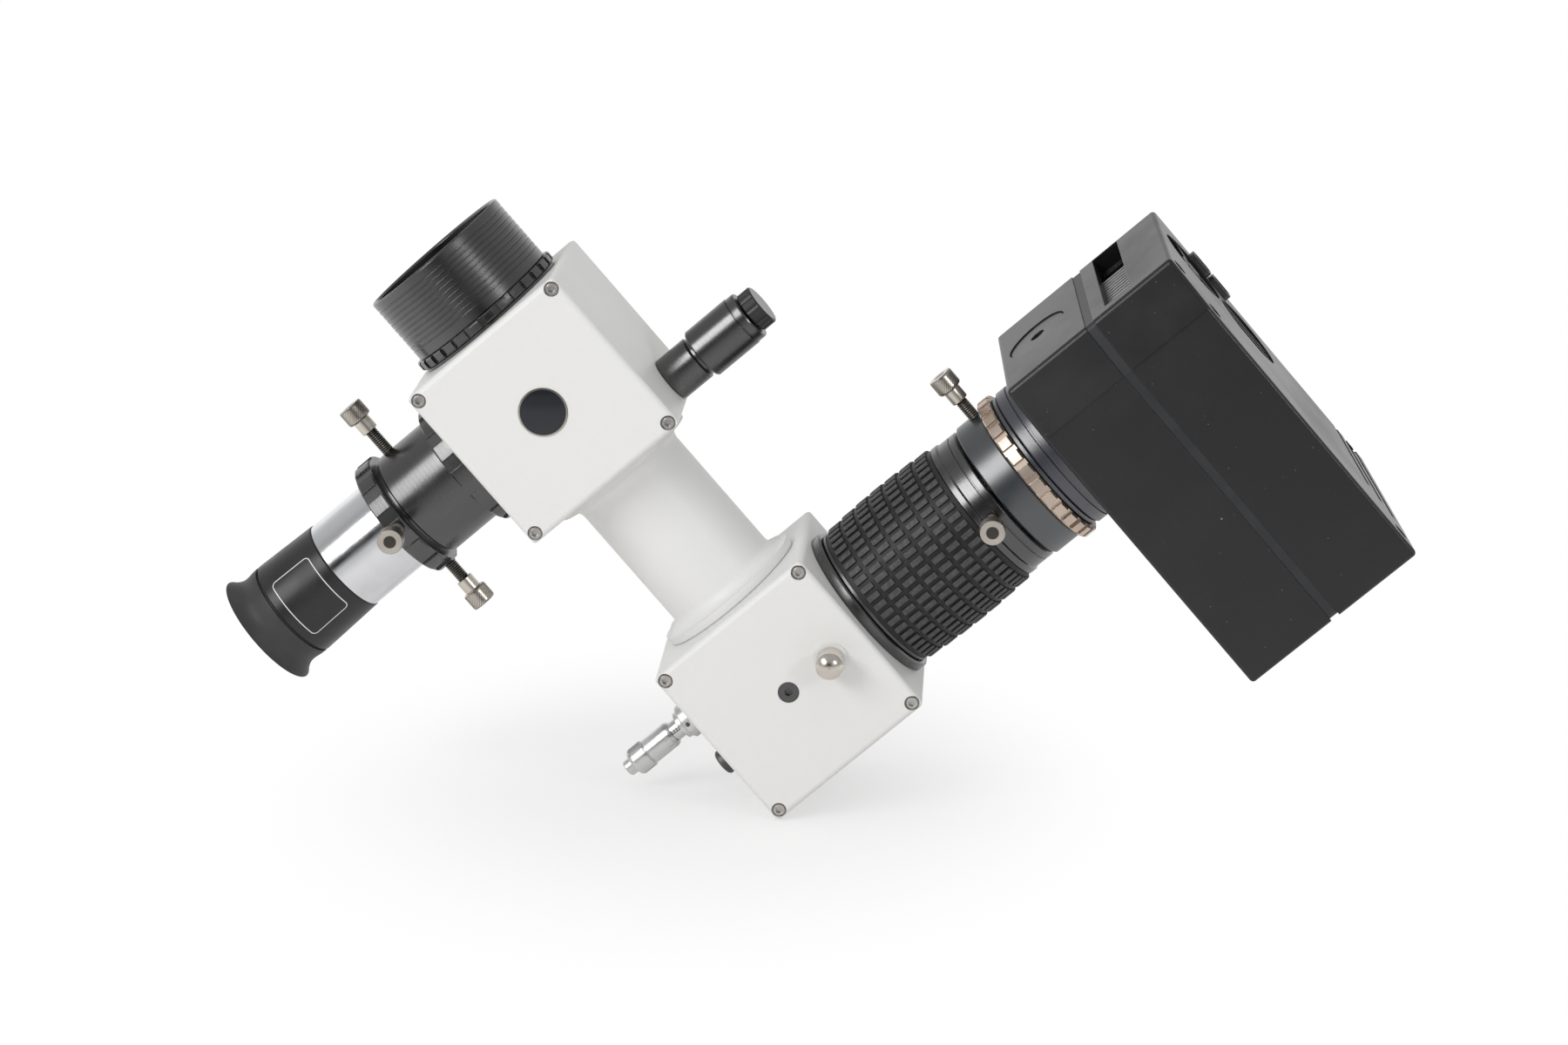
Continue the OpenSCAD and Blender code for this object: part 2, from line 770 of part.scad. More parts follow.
module eyepiece_holder() color("#191a1c") difference() {
    to_eye(0) turned([[guide_lens_d / 2 + fixed, box_w / 2 - box_wall],
        [holder_stem_d / 2, box_w / 2 - box_wall],
        [holder_stem_d / 2, ring_x], [holder_d / 2 - rim_t, ring_x], [holder_d / 2, ring_x + rim_t],
        [holder_d / 2, holder_x - rim_t], [holder_d / 2 - rim_t, holder_x], [barrel_d / 2 + run, holder_x],
        [barrel_d / 2 + run, holder_step_x], [guide_bore_d / 2, holder_step_x],
            [guide_bore_d / 2, lens_seat_x],
        [guide_lens_d / 2 + fixed, lens_seat_x]]);
    translate([-holder_screw_x, 0, slit_z]) thumb_hole(holder_d);
}

module clamp_ring() color("#17181a") difference() {
    union() {
        to_eye(holder_x) ring(clamp_neck_d, barrel_d + 2 * run, clamp_neck_l);
        to_eye(holder_x + clamp_neck_l)
            castle_ring(clamp_d, barrel_d + 2 * run, clamp_l - clamp_neck_l, port_notches, port_notch_w,
                port_notch_t);
    }
    translate([-clamp_screw_x, 0, slit_z]) {
        rotate([90, 0, 0]) thumb_hole(clamp_d);
        rotate([180, 0, 0]) thumb_hole(clamp_d);
    }
}

module guide_lens() color("#b9cdd6") to_eye(lens_seat_x - guide_lens_t)
    lens(guide_lens_d, guide_lens_t, collimator_round);

module holder_screw() color("#c5bfb2") translate([-holder_screw_x, 0, slit_z])
    thumbscrew(barrel_d / 2 + tip_gap, holder_d / 2, thumb_gap_l);

module clamp_screw_front() color("#c5bfb2") translate([-clamp_screw_x, 0, slit_z]) rotate([90, 0, 0])
    thumbscrew(barrel_d / 2 + tip_gap, clamp_d / 2, thumb_short_gap_l);

module clamp_screw_bottom() color("#c5bfb2") translate([-clamp_screw_x, 0, slit_z]) rotate([180, 0, 0])
    thumbscrew(barrel_d / 2 + tip_gap, clamp_d / 2, thumb_short_gap_l);

module eyepiece_barrel() color("#dfe2e5") to_eye(0)
    turned([[barrel_d / 2 - barrel_wall, clamp_x - barrel_in_l],
        [barrel_d / 2 - rim_t, clamp_x - barrel_in_l],
        [barrel_d / 2, clamp_x - barrel_in_l + rim_t], [barrel_d / 2, eye_x], [stub_d / 2, eye_x],
        [stub_d / 2, eye_x + stub_l], [stub_d / 2 - stub_wall, eye_x + stub_l],
            [stub_d / 2 - stub_wall, eye_x - cut],
        [barrel_d / 2 - barrel_wall, eye_x - 2 * cut]]);

module eyepiece_body() color("#141416") to_eye(eye_x)
    turned([[stub_d / 2 + fixed, 0], [eye_body_d1 / 2 - rim_t, 0], [eye_body_d1 / 2, rim_t],
        [eye_body_d2 / 2, eye_body_l - rim_t], [eye_body_d2 / 2 - rim_t, eye_body_l],
            [cup_seat_d / 2, eye_body_l],
        [cup_seat_d / 2, eye_body_l + cup_seat_l], [eye_lens_d / 2 + fixed, eye_body_l + cup_seat_l],
        [eye_lens_d / 2 + fixed, eye_body_l], [eye_stop_d / 2, eye_body_l],
            [eye_stop_d / 2, eye_body_l - eye_stop_l],
        [field_lens_d / 2 + fixed, eye_body_l - eye_stop_l], [field_lens_d / 2 + fixed, stub_l + fixed],
        [stub_d / 2 + fixed, stub_l + fixed]]);

module eyepiece_lenses() color("#b9cdd6") {
    to_eye(eye_end_x - eye_stop_l - field_lens_t) lens(field_lens_d, field_lens_t, field_lens_round);
    to_eye(eye_end_x) lens(eye_lens_d, eye_lens_t, field_lens_round);
}

function cup_r(z) = cup_waist_d / 2 + (cup_rim_d - cup_waist_d) / 2 * pow((z - waist_at) / (cup_l -
    waist_at), 2);

// Rubber eyecup with a flared thin lip
module eyecup() color("#222326") to_eye(eye_end_x) {
    flare = [for (i = [0:flare_steps]) waist_at + (cup_l - waist_at) * i / flare_steps];
    turned(concat([[cup_seat_d / 2 + fixed, 0], [eye_body_d2 / 2 - cup_groove - rim_t, 0],
            [eye_body_d2 / 2 - cup_groove - rim_t, cup_groove], [eye_body_d2 / 2, cup_groove]],
        [for (z = flare) [cup_r(z), z]],
        [for (i = [flare_steps:-1:0]) [cup_r(flare[i]) - cup_wall * (1 - 0.5 * i / flare_steps),
            flare[i] + fixed]],
        [[cup_seat_d / 2 + fixed, waist_at]]));
}

module lamp_at(x) translate([x, 0, lamp_z]) rotate([0, 90, 0]) children();

module lamp_socket() color("#1c1d20") lamp_at(lamp_x)
    turned([[led_d / 2 + fixed, -box_wall], [lamp_stem_d / 2, -box_wall], [lamp_stem_d / 2, 0],
        [lamp_socket_d / 2 - rim_t, 0], [lamp_socket_d / 2, rim_t],
            [lamp_socket_d / 2, lamp_socket_l - lamp_neck_l - rim_t],
        [lamp_socket_d / 2 - rim_t, lamp_socket_l - lamp_neck_l],
            [lamp_neck_d / 2, lamp_socket_l - lamp_neck_l],
        [lamp_neck_d / 2, lamp_socket_l], [led_room_d / 2, lamp_socket_l], [led_room_d / 2, 0],
        [led_d / 2 + fixed, 0]]);

module lamp_led() color("#d9c6a0") {
    lamp_at(lamp_x) {
        translate([0, 0, -led_reach + led_d / 2]) cylinder(d = led_d, h = led_reach - led_d / 2);
        translate([0, 0, -led_reach + led_d / 2]) sphere(d = led_d);
        cylinder(d = led_flange_d, h = led_flange_t);
        for (y = [-1, 1]) translate([0, y * lead_pitch, 0])
            cylinder(d = lead_d, h = lamp_socket_l + lamp_floor);
    }
}

module lamp_body() color("#1c1d20") lamp_at(lamp_body_x)
    turned([[lead_hole_d / 2, 0], [lamp_body_d / 2 - rim_t, 0], [lamp_body_d / 2, rim_t],
        [lamp_body_d / 2, lamp_body_l - lamp_ring_l - lamp_groove_w],
            [lamp_groove_d / 2, lamp_body_l - lamp_ring_l - lamp_groove_w],
        [lamp_groove_d / 2, lamp_body_l - lamp_ring_l],
            [lamp_body_d / 2 - rim_t / 2, lamp_body_l - lamp_ring_l],
        [lamp_body_d / 2 - rim_t / 2, lamp_body_l - rim_t], [lamp_body_d / 2 - rim_t, lamp_body_l],
        [lamp_shaft_d / 2 + run, lamp_body_l], [lamp_shaft_d / 2 + run, lamp_body_l - lamp_ring_l],
        [lamp_bore_d / 2, lamp_body_l - lamp_ring_l], [lamp_bore_d / 2, lamp_floor],
            [lead_hole_d / 2, lamp_floor]]);

module lamp_battery() color("#cfd1d3") lamp_at(lamp_body_x + lamp_floor) {
    cylinder(d = cell_d, h = cell_t);
    translate([0, 0, cell_t]) cylinder(d = cell_nub_d, h = cell_nub_t);
}

module lamp_knob() color("#232427") lamp_at(lamp_end_x) {
    translate([0, 0, gap]) knurled(lamp_knob_d, lamp_knob_l, knurl_count, knurl_t, thumb_bevel);
    translate([0, 0, -lamp_ring_l]) cylinder(d = lamp_shaft_d, h = lamp_ring_l + gap);
}

// Tube with a flared flange at both ends and a seat for the collimator
module main_tube() color("#e3e0dc") translate([0, 0, tube_foot]) difference() {
    turned(concat([[0, -tube_spigot_l], [tube_spigot_d / 2, -tube_spigot_l], [tube_spigot_d / 2, 0],
            [flange_d / 2 - rim_t, 0], [flange_d / 2, rim_t], [flange_d / 2, flange_rim_t]],
        [for (i = [flare_steps:-1:0]) flare_point(i)],
        [for (i = [0:flare_steps]) [flare_point(i)[0], tube_l - flare_point(i)[1]]],
        [[flange_d / 2, tube_l - flange_rim_t], [flange_d / 2, tube_l - rim_t],
            [flange_d / 2 - rim_t, tube_l],
            [tube_spigot_d / 2, tube_l], [tube_spigot_d / 2, tube_l + tube_spigot_l],
                [0, tube_l + tube_spigot_l]]));
    translate([0, 0, -tube_spigot_l - cut])
        cylinder(d = tube_bore_d, h = tube_l + 2 * tube_spigot_l + 2 * cut);
    translate([0, 0, -tube_spigot_l - cut]) cylinder(d = collimator_d + 2 * fixed, h = seat_l + cut);
}
function flare_point(i) = let (a = 90 * i / flare_steps)
    [tube_d / 2 + flare_l * (1 - cos(a)), flange_rim_t + flare_l * (1 - sin(a))];

module collimator_lens() color("#b9cdd6")
    translate([0, 0, tube_foot - tube_spigot_l + seat_l - collimator_t])
    lens(collimator_d, collimator_t, collimator_round);

module collimator_ring() color("#1b1c1e") translate([0, 0, tube_foot - tube_spigot_l])
    ring(collimator_d, collimator_d - 2 * lens_rim, seat_l - collimator_t);

module grating_box() color("#e3e0dc") {
    difference() {
        translate([0, 0, grating_z]) housing();
        translate([0, 0, tube_foot - box_wall - cut]) cylinder(d = collimator_d, h = box_wall + cut);
        translate([0, 0, tube_foot - tube_spigot_l])
            cylinder(d = tube_spigot_d + 2 * fixed, h = tube_spigot_l + cut);
        to_camera(0) cylinder(d = base_spigot_d + 2 * fixed, h = box_w);
        translate([0, 0, drive_z]) rotate([0, -90, 0]) cylinder(d = bushing_stem_d + 2 * fixed, h = box_w);
        translate([0, 0, spring_z]) rotate([0, -90, 0]) cylinder(d = plug_stem_d + 2 * fixed, h = box_w);
    }
    translate([0, room_back, grating_z]) to_front() cylinder(d = pivot_d, h = pivot_l);
}

module grating_box_cover() color("#e5e2de") difference() {
    union() {
        translate([0, 0, grating_z]) cover();
        translate([lock_knob_x, front_y, grating_z]) to_front() cylinder(d = washer_d, h = foot_t);
    }
    translate([0, seam_y + cut, grating_z]) to_front()
        cylinder(d = insert_d + 2 * fixed, h = cover_t + 2 * cut);
    translate([lock_knob_x, seam_y + cut, grating_z]) to_front()
        cylinder(d = lock_thread_d + 2 * run, h = cover_t + foot_t + 2 * cut);
}

// Threaded insert that carries the front pivot of the grating
module pivot_insert() color("#141416") translate([0, 0, grating_z]) difference() {
    union() {
        translate([0, seam_y, 0]) to_front() cylinder(d = insert_d, h = cover_t - insert_sink);
        translate([0, seam_y, 0]) to_front() translate([0, 0, -1]) cylinder(d = insert_d + 2, h = 1);
        translate([0, seam_y + pivot_l, 0]) to_front() cylinder(d = pivot_d, h = pivot_l);
    }
    translate([0, front_y + 1.6, 0]) to_front() cylinder(d = insert_hole_d, h = cover_t, $fn = 6);
}

// Grating carrier with its two cheeks, lever and lock arm
module grating_carrier() color("#2a2b2e") translate([0, 0, grating_z]) difference() {
    near = seam_y + 1 + cheek_gap;
    far = room_back - cheek_gap;
    union() {
        rotate([0, 45, 0]) translate([-back_plate_w / 2, near, -grating_t - back_plate_t])
            cube([back_plate_w, far - near, back_plate_t]);
        for (y = [near + cheek_t, far]) translate([0, y, 0]) rotate([0, 45, 0]) to_front()
            linear_extrude(cheek_t) {
            circle(d = cheek_d);
            translate([-cheek_d / 2 + rim_t, -grating_t - back_plate_t + rim_t])
                square([cheek_d - 2 * rim_t, grating_t + back_plate_t]);
        }
        translate([0, near, -lock_arm_w / 2]) cube([lock_arm_x, cheek_t, lock_arm_w]);
        translate([-lever_reach, -lever_w / 2, -lever_bottom])
            cube([lever_t, lever_w, lever_bottom + lever_top]);
        translate([-lever_reach + rim_t, -lever_w / 2 + rim_t, -lever_bottom + web_rise])
            cube([web_l, lever_w - 2 * rim_t, web_h]);
    }
    translate([0, front_y, 0]) rotate([-90, 0, 0]) cylinder(d = pivot_d + 2 * run, h = box_d);
}

module grating() color("#8fa0c8") translate([0, 0, grating_z]) rotate([0, 45, 0])
    translate([-grating_w / 2, -grating_w / 2, -grating_t]) cube([grating_w, grating_w, grating_t]);

// Clamping knob with a knurled base and a domed end
module grating_lock_knob() color("#c5bfb2") translate([lock_knob_x, front_y - foot_t, grating_z])
    to_front() {
    translate([0, 0, -cover_t - foot_t - lock_tip_l])
        cylinder(d = lock_thread_d, h = cover_t + foot_t + lock_tip_l + gap);
    translate([0, 0, gap]) knurled(lock_knob_d, lock_base_l, knurl_count, knurl_t, thumb_bevel);
    translate([0, 0, gap + lock_base_l]) intersection() {
        cylinder(d = lock_knob_d, h = lock_knob_l - lock_base_l - gap - foot_t);
        translate([0, 0, lock_knob_l - lock_base_l - gap - foot_t - lock_dome_r]) sphere(lock_dome_r);
    }
}

module drive_at(x) translate([-x, 0, drive_z]) rotate([0, -90, 0]) children();

module micrometer_bushing() color("#d7d8d6") difference() {
    drive_at(box_w / 2) turned([[sleeve_d / 2 - sleeve_lip, -box_wall], [bushing_stem_d / 2, -box_wall],
        [bushing_stem_d / 2, 0],
        [bushing_d / 2 - rim_t, 0], [bushing_d / 2, rim_t], [bushing_d / 2, bushing_l - rim_t],
        [bushing_d / 2 - rim_t, bushing_l], [bushing_neck_d / 2, bushing_l],
            [bushing_neck_d / 2, bushing_l + bushing_neck_l],
        [sleeve_d / 2 + fixed, bushing_l + bushing_neck_l], [sleeve_d / 2 + fixed, -box_wall + sleeve_stop],
        [sleeve_d / 2 - sleeve_lip, -box_wall + sleeve_stop]]);
    translate([-box_w / 2 - bushing_l + bushing_hole_in, 0, drive_z]) rotate([90, 0, 0])
        cylinder(d = bushing_hole_d, h = bushing_d);
}

module micrometer_sleeve() color("#cfd1d3") drive_at(0) translate([0, 0, box_w / 2 - box_wall + sleeve_stop])
    ring(sleeve_d, spindle_d + 2 * run, sleeve_end_x - box_w / 2 + box_wall - sleeve_stop);

module micrometer_spindle() color("#b5b8ba") drive_at(0) {
    translate([0, 0, lever_reach + gap + spindle_d / 2])
        cylinder(d = spindle_d, h = spindle_hub_x - lever_reach - gap - spindle_d / 2);
    translate([0, 0, lever_reach + gap + spindle_d / 2]) sphere(d = spindle_d);
}

module micrometer_thimble() color("#d5d7d9") drive_at(thimble_x) difference() {
    union() {
        turned([[0, 0], [thimble_d / 2 - thimble_bevel / 2, 0], [thimble_d / 2, thimble_bevel],
            [thimble_d / 2, thimble_l], [0, thimble_l]]);
        translate([0, 0, thimble_l])
            knurled(thimble_grip_d, thimble_grip_l, knurl_count, knurl_t, thumb_bevel);
        translate([0, 0, thimble_l + thimble_grip_l])
            knurled(ratchet_d, ratchet_l, knurl_count, knurl_t, rim_t);
    }
    translate([0, 0, -cut]) cylinder(d = sleeve_d + 2 * run, h = thimble_l + cut + 0.5);
    translate([0, 0, -cut]) cylinder(d = spindle_d + 2 * run, h = spindle_hub_x - thimble_x + cut + gap);
}

module spring_at(x) translate([-x, 0, spring_z]) rotate([0, -90, 0]) children();

module spring_plug() color("#18191b") spring_at(box_w / 2) difference() {
    union() {
        translate([0, 0, -box_wall]) cylinder(d = plug_stem_d, h = box_wall);
        turned([[0, 0], [plug_d / 2, 0], [plug_d / 2, plug_l - rim_t], [plug_d / 2 - rim_t, plug_l],
            [0, plug_l]]);
    }
    translate([0, 0, -box_wall - cut])
        cylinder(d = plunger_d + 2 * run, h = box_wall + cut + plug_l - plug_wall);
    translate([-plug_d, -plug_slot_w / 2, plug_l - plug_slot_t])
        cube([2 * plug_d, plug_slot_w, plug_slot_t + cut]);
}

module spring_plunger() color("#b5b8ba") spring_at(0) {
    translate([0, 0, lever_reach + gap + plunger_d / 2])
        cylinder(d = plunger_d, h = plunger_back_x - lever_reach - gap - plunger_d / 2);
    translate([0, 0, lever_reach + gap + plunger_d / 2]) sphere(d = plunger_d);
}

// Coil spring behind the plunger, drawn at its shortest
module return_spring() color("#9a9da0") spring_at(box_w / 2 + plug_l - plug_wall - spring_l)
    linear_extrude(spring_l, twist = 360 * spring_turns, slices = 24 * spring_turns, $fn = 8)
        translate([(spring_d - spring_wire) / 2, 0]) circle(d = spring_wire);

module focuser_base() color("#1c1d20") difference() {
    union() {
        to_camera(box_w / 2 - box_wall)
            cylinder(d = base_spigot_d, h = collar_end_x - collar_stop_l - box_w / 2 + box_wall);
        to_camera(box_w / 2) turned([[0, 0], [base_d / 2 - rim_t, 0], [base_d / 2, rim_t],
            [base_d / 2, base_t - rim_t],
            [base_d / 2 - rim_t, base_t], [0, base_t]]);
    }
    to_camera(0) cylinder(d = draw_d + 2 * run, h = collar_end_x);
    translate([slot_x, 0, grating_z - (pin_d / 2 + run)]) cube([slot_l, base_d, pin_d + 2 * run]);
    translate([lock_screw_x, 0, grating_z]) rotate([90, 0, 0]) thumb_hole(base_d);
}

module focus_grip() color("#2a2b2d") to_camera(0)
    turned([[base_spigot_d / 2 + run, grip_x], [grip_end_d / 2 - rim_t, grip_x],
        [grip_end_d / 2 - rim_t, grip_x + grip_lip_t],
        [grip_core_d / 2, grip_x + grip_lip_t], [grip_core_d / 2, grip_end_x],
            [base_spigot_d / 2 + run, grip_end_x],
        [base_spigot_d / 2 + run, grip_recess_x + grip_recess_l],
            [grip_recess_d / 2, grip_recess_x + grip_recess_l],
        [grip_recess_d / 2, grip_recess_x], [base_spigot_d / 2 + run, grip_recess_x]]);

// Rubber sleeve with staggered rectangular lugs that swell towards the middle
module grip_rubber() color("#2b2c2e") to_camera(grip_x + grip_lip_t) {
    l = grip_end_x - grip_x - grip_lip_t;
    pitch = (l - 2 * lug_margin) / lug_rows;
    last = lug_rows - 1;
    for (i = [0:last]) {
        r = grip_end_d / 2 + grip_swell / 2 * sin(180 * (i + 0.5) / lug_rows);
        foot = i == 0 ? 0 : lug_margin + i * pitch;
        top = i == last ? l : lug_margin + (i + 1) * pitch;
        translate([0, 0, foot]) ring(2 * (r - lug_h), grip_core_d + 2 * fixed, top - foot);
        translate([0, 0, lug_margin + i * pitch + lug_gap / 2]) linear_extrude(pitch - lug_gap)
            difference() {
            circle(r);
            circle(r - lug_h - cut / 2);
            for (j = [0:lug_around - 1]) rotate(j * 360 / lug_around)
                translate([r - lug_h, -lug_gap / 2]) square([2 * lug_h, lug_gap]);
        }
    }
}

module drawtube() color("#36383b") difference() {
    union() {
        to_camera(draw_x) cylinder(d = draw_d, h = draw_end_x - draw_x);
        translate([pin_x, 0, grating_z]) rotate([-90, 0, 0]) cylinder(d = pin_d, h = pin_r);
    }
    to_camera(draw_x - cut) cylinder(d = draw_bore_d - 2 * objective_wall,
        h = draw_end_x - draw_x + 2 * cut);
    to_camera(draw_x - cut) cylinder(d = draw_bore_d + 2 * fixed,
        h = objective_x - draw_x + objective_t + cut);
}

module objective_lens() color("#a9bfd0") to_camera(objective_x)
    lens(draw_bore_d, objective_t, objective_round);

module front_collar() color("#1c1d20") difference() {
    to_camera(collar_x) turned([[base_spigot_d / 2 + fixed, 0], [collar_d / 2 + rim_t, 0],
        [collar_d / 2 + rim_t, collar_lip_l], [collar_d / 2, collar_lip_l + collar_lip_slope],
        [collar_d / 2, collar_l - collar_land_l - collar_groove_l],
        [collar_d / 2 - collar_groove_t, collar_l - collar_land_l - collar_groove_l],
        [collar_d / 2 - collar_groove_t, collar_l - collar_land_l], [collar_d / 2, collar_l - collar_land_l],
        [collar_d / 2, collar_end_x - collar_x - rim_t], [collar_d / 2 - rim_t, collar_end_x - collar_x],
        [draw_d / 2 + run, collar_end_x - collar_x],
            [draw_d / 2 + run, collar_end_x - collar_x - collar_stop_l],
        [base_spigot_d / 2 + fixed, collar_end_x - collar_x - collar_stop_l]]);
    translate([lock_screw_x, 0, grating_z]) rotate([90, 0, 0]) thumb_hole(base_d);
}

module focus_lock_screw() color("#c5bfb2") translate([lock_screw_x, 0, grating_z]) rotate([90, 0, 0])
    thumbscrew(draw_d / 2 + tip_gap, collar_d / 2, thumb_short_gap_l);

// Collar on the drawtube with the stub that carries the changer ring
module camera_collar() color("#22282c") difference() {
    to_camera(0) turned([[draw_d / 2 + fixed, camera_collar_x],
        [camera_collar_d / 2 - rim_t, camera_collar_x],
        [camera_collar_d / 2, camera_collar_x + rim_t], [camera_collar_d / 2, camera_collar_end_x - rim_t],
        [camera_collar_d / 2 - rim_t, camera_collar_end_x], [stub_ring_d / 2, camera_collar_end_x],
        [stub_ring_d / 2, camera_collar_end_x + stub_ring_l - stub_rim_t],
        [stub_rim_d / 2, camera_collar_end_x + stub_ring_l - stub_rim_t],
            [stub_rim_d / 2, camera_collar_end_x + stub_ring_l],
        [adapter_spigot_d / 2 + run, camera_collar_end_x + stub_ring_l],
        [adapter_spigot_d / 2 + run, camera_collar_end_x + stub_ring_l - socket_l],
        [draw_bore_d / 2, camera_collar_end_x + stub_ring_l - socket_l], [draw_bore_d / 2, draw_end_x],
            [draw_d / 2 + fixed, draw_end_x]]);
    translate([clamp4_x, 0, grating_z + adapter_spigot_d / 2 + run]) thumb_hole(camera_collar_d);
}

module camera_clamp_screw() color("#c5bfb2") translate([clamp4_x, 0, grating_z])
    thumbscrew(adapter_spigot_d / 2 + tip_gap, camera_collar_d / 2, thumb_short_gap_l);

module changer_ring() color("#a08c78") to_camera(changer_x)
    castle_ring(changer_d, stub_ring_d + 2 * run, changer_l - gap, lock_notches, notch_w, notch_t);

module adapter_ring() color("#1d2430") to_camera(adapter_x)
    turned([[adapter_bore_d / 2, -adapter_spigot_l + gap], [adapter_spigot_d / 2, -adapter_spigot_l + gap],
        [adapter_spigot_d / 2, 0], [adapter_d / 2 - rim_t, 0], [adapter_d / 2, rim_t],
            [adapter_d / 2, adapter_l / 2],
        [adapter_d / 2 - adapter_groove_t, adapter_l / 2],
            [adapter_d / 2 - adapter_groove_t, adapter_l / 2 + adapter_groove_w],
        [adapter_d / 2, adapter_l / 2 + adapter_groove_w], [adapter_d / 2, adapter_l],
            [adapter_bore_d / 2, adapter_l]]);

// Outline of the camera across the light path, with its five rounded corners
cam_corners = [[cam_far, cam_top], [-cam_near + slant_in, cam_top - top_fall],
    [-cam_near, cam_top - top_fall - slant_h],
    [-cam_near, -cam_bottom], [cam_far, -cam_bottom + bottom_rise]];
function inward(a, b) = [a[1] - b[1], b[0] - a[0]] / norm(b - a);
function inset(list, d) = [for (i = [0:4])
    let (m = inward(list[(i + 4) % 5], list[i]), n = inward(list[i], list[(i + 1) % 5]))
    list[i] + d * (m + n) / (1 + m * n)];
function turn_of(m) = atan2(-m[1], -m[0]);
function rounded_corner(list, i, r) = let (m = inward(list[(i + 4) % 5], list[i]),
    n = inward(list[i], list[(i + 1) % 5]),
    c = list[i] + r * (m + n) / (1 + m * n), a = turn_of(m), b = turn_of(n) + (turn_of(n) < a ? 360 : 0))
    [for (k = [0:corner_steps])
        c + r * [cos(a + (b - a) * k / corner_steps), sin(a + (b - a) * k / corner_steps)]];
module camera_shape(d, r) polygon([for (i = [0:4]) each rounded_corner(inset(cam_corners, d), i, r)]);
module camera_slice(x, l, d, r) translate([x, 0, grating_z]) rotate([90, 0, 90]) linear_extrude(l)
    camera_shape(d, r);

// Frame on the sloped top face, +Z outwards
function top_height(y) = cam_top - (cam_far - y) * tan(top_angle);
module on_top(x, y) translate([x, y, grating_z + top_height(y)]) rotate([top_angle, 0, 0]) children();

module camera_front() color("#232427") difference() {
    camera_slice(camera_x, front_l, 0, corner_r);
    camera_slice(camera_x + cam_wall, front_l, cam_wall, corner_r / 2);
    to_camera(camera_x - cut) cylinder(d = adapter_bore_d, h = cam_wall + 2 * cut);
    on_top(boss_x, boss_y) translate([0, 0, -2 * cam_wall])
        cylinder(d = tripod_boss_d + 2 * boss_gap, h = 3 * cam_wall);
}

// Middle plate of the camera with the cooling fins behind it
module heat_sink() color("#303135") {
    difference() {
        camera_slice(mid_x, mid_t, mid_inset, corner_r);
        to_camera(mid_x - cut) cylinder(d = mid_hole_d, h = mid_t + 2 * cut);
    }
    for (i = [0:fin_count - 1])
        let (y = vent_near + i * fin_pitch, top = top_height(y) - cam_wall / cos(top_angle) - gap)
        translate([rear_x, y, grating_z + fin_bottom]) cube([fin_l, fin_t, top - fin_bottom]);
}

module camera_rear() color("#232427") {
    difference() {
        camera_slice(rear_x, camera_end_x - rear_x, 0, corner_r);
        camera_slice(rear_x - cut, camera_end_x - rear_x - cam_wall + cut, cam_wall, corner_r / 2);
        for (z = [port_z_up, port_z_low]) translate([camera_end_x - 2 * cam_wall, port_y, grating_z + z])
            rotate([0, 90, 0]) cylinder(d = port_d, h = 3 * cam_wall);
        on_top(vent_x, 0) translate([0, vent_near, -2 * cam_wall]) cube([vent_w, box_w, 3 * cam_wall]);
        translate([camera_end_x - cam_wall - cut, cam_far, grating_z - cam_bottom + bottom_rise])
            rotate([bottom_angle, 0, 0])
            for (i = [0:slot_count - 1]) translate([0, slot_in + slot_shift * i, slot_rise + slot_pitch * i])
                cube([2 * cam_wall, box_w, slot_w]);
        at_connectors() translate([0, 0, -2 * cam_wall])
            cylinder(d = connector_stem_d + 2 * fixed, h = 3 * cam_wall);
        for (at = rear_screw_at) translate([camera_end_x - rear_screw_t, at[0], grating_z + at[1]])
            rotate([0, 90, 0]) cylinder(d = rear_screw_d, h = rear_screw_t + cut);
    }
    translate([fan_x - shroud_lead, port_y, grating_z + port_z_up]) rotate([0, 90, 0]) {
        ring(shroud_d + 2 * shroud_wall, shroud_d, camera_end_x - cam_wall / 2 - fan_x + shroud_lead);
        translate([0, 0, camera_end_x - fan_x + shroud_lead - bearing_t - bearing_in]) difference() {
            union() {
                cylinder(d = bearing_d, h = bearing_t);
                for (i = [0:2]) rotate(i * 120) translate([0, -spoke_w / 2, 0])
                    cube([port_d / 2 + bar_bite, spoke_w, bearing_t]);
            }
            translate([0, 0, -cut]) cylinder(d = fan_shaft_d + 2 * run, h = bearing_t + 2 * cut);
        }
    }
    for (i = [-1:1]) translate([camera_end_x - bar_t - bearing_in, port_y + i * port_d / 4 - bar_w / 2,
        grating_z + port_z_low - port_d / 2 - bar_bite])
        cube([bar_t, bar_w, port_d + 2 * bar_bite]);
}

module sensor_board() color("#1f5a3a") translate([0, 0, grating_z]) {
    translate([board_x, board_near, board_near])
        cube([board_t, board_far - board_near, board_far - board_near]);
    translate([board_x - chip_t, -chip_w / 2, -chip_h / 2]) cube([chip_t, chip_w, chip_h]);
    for (y = [-1, 1], z = [-1, 1]) translate([board_x, y * post_at, z * post_at]) rotate([0, 90, 0])
        cylinder(d = post_d, h = mid_x - board_x);
    translate([shutter_x - shutter_t, shutter_y, shutter_z]) rotate([0, 90, 0]) {
        cylinder(d = shutter_pin_d, h = board_x - shutter_x + shutter_t);
        translate([0, 0, 2 * shutter_t + gap])
            cylinder(d = shutter_hub_d, h = board_x - shutter_x - shutter_t - gap);
    }
}

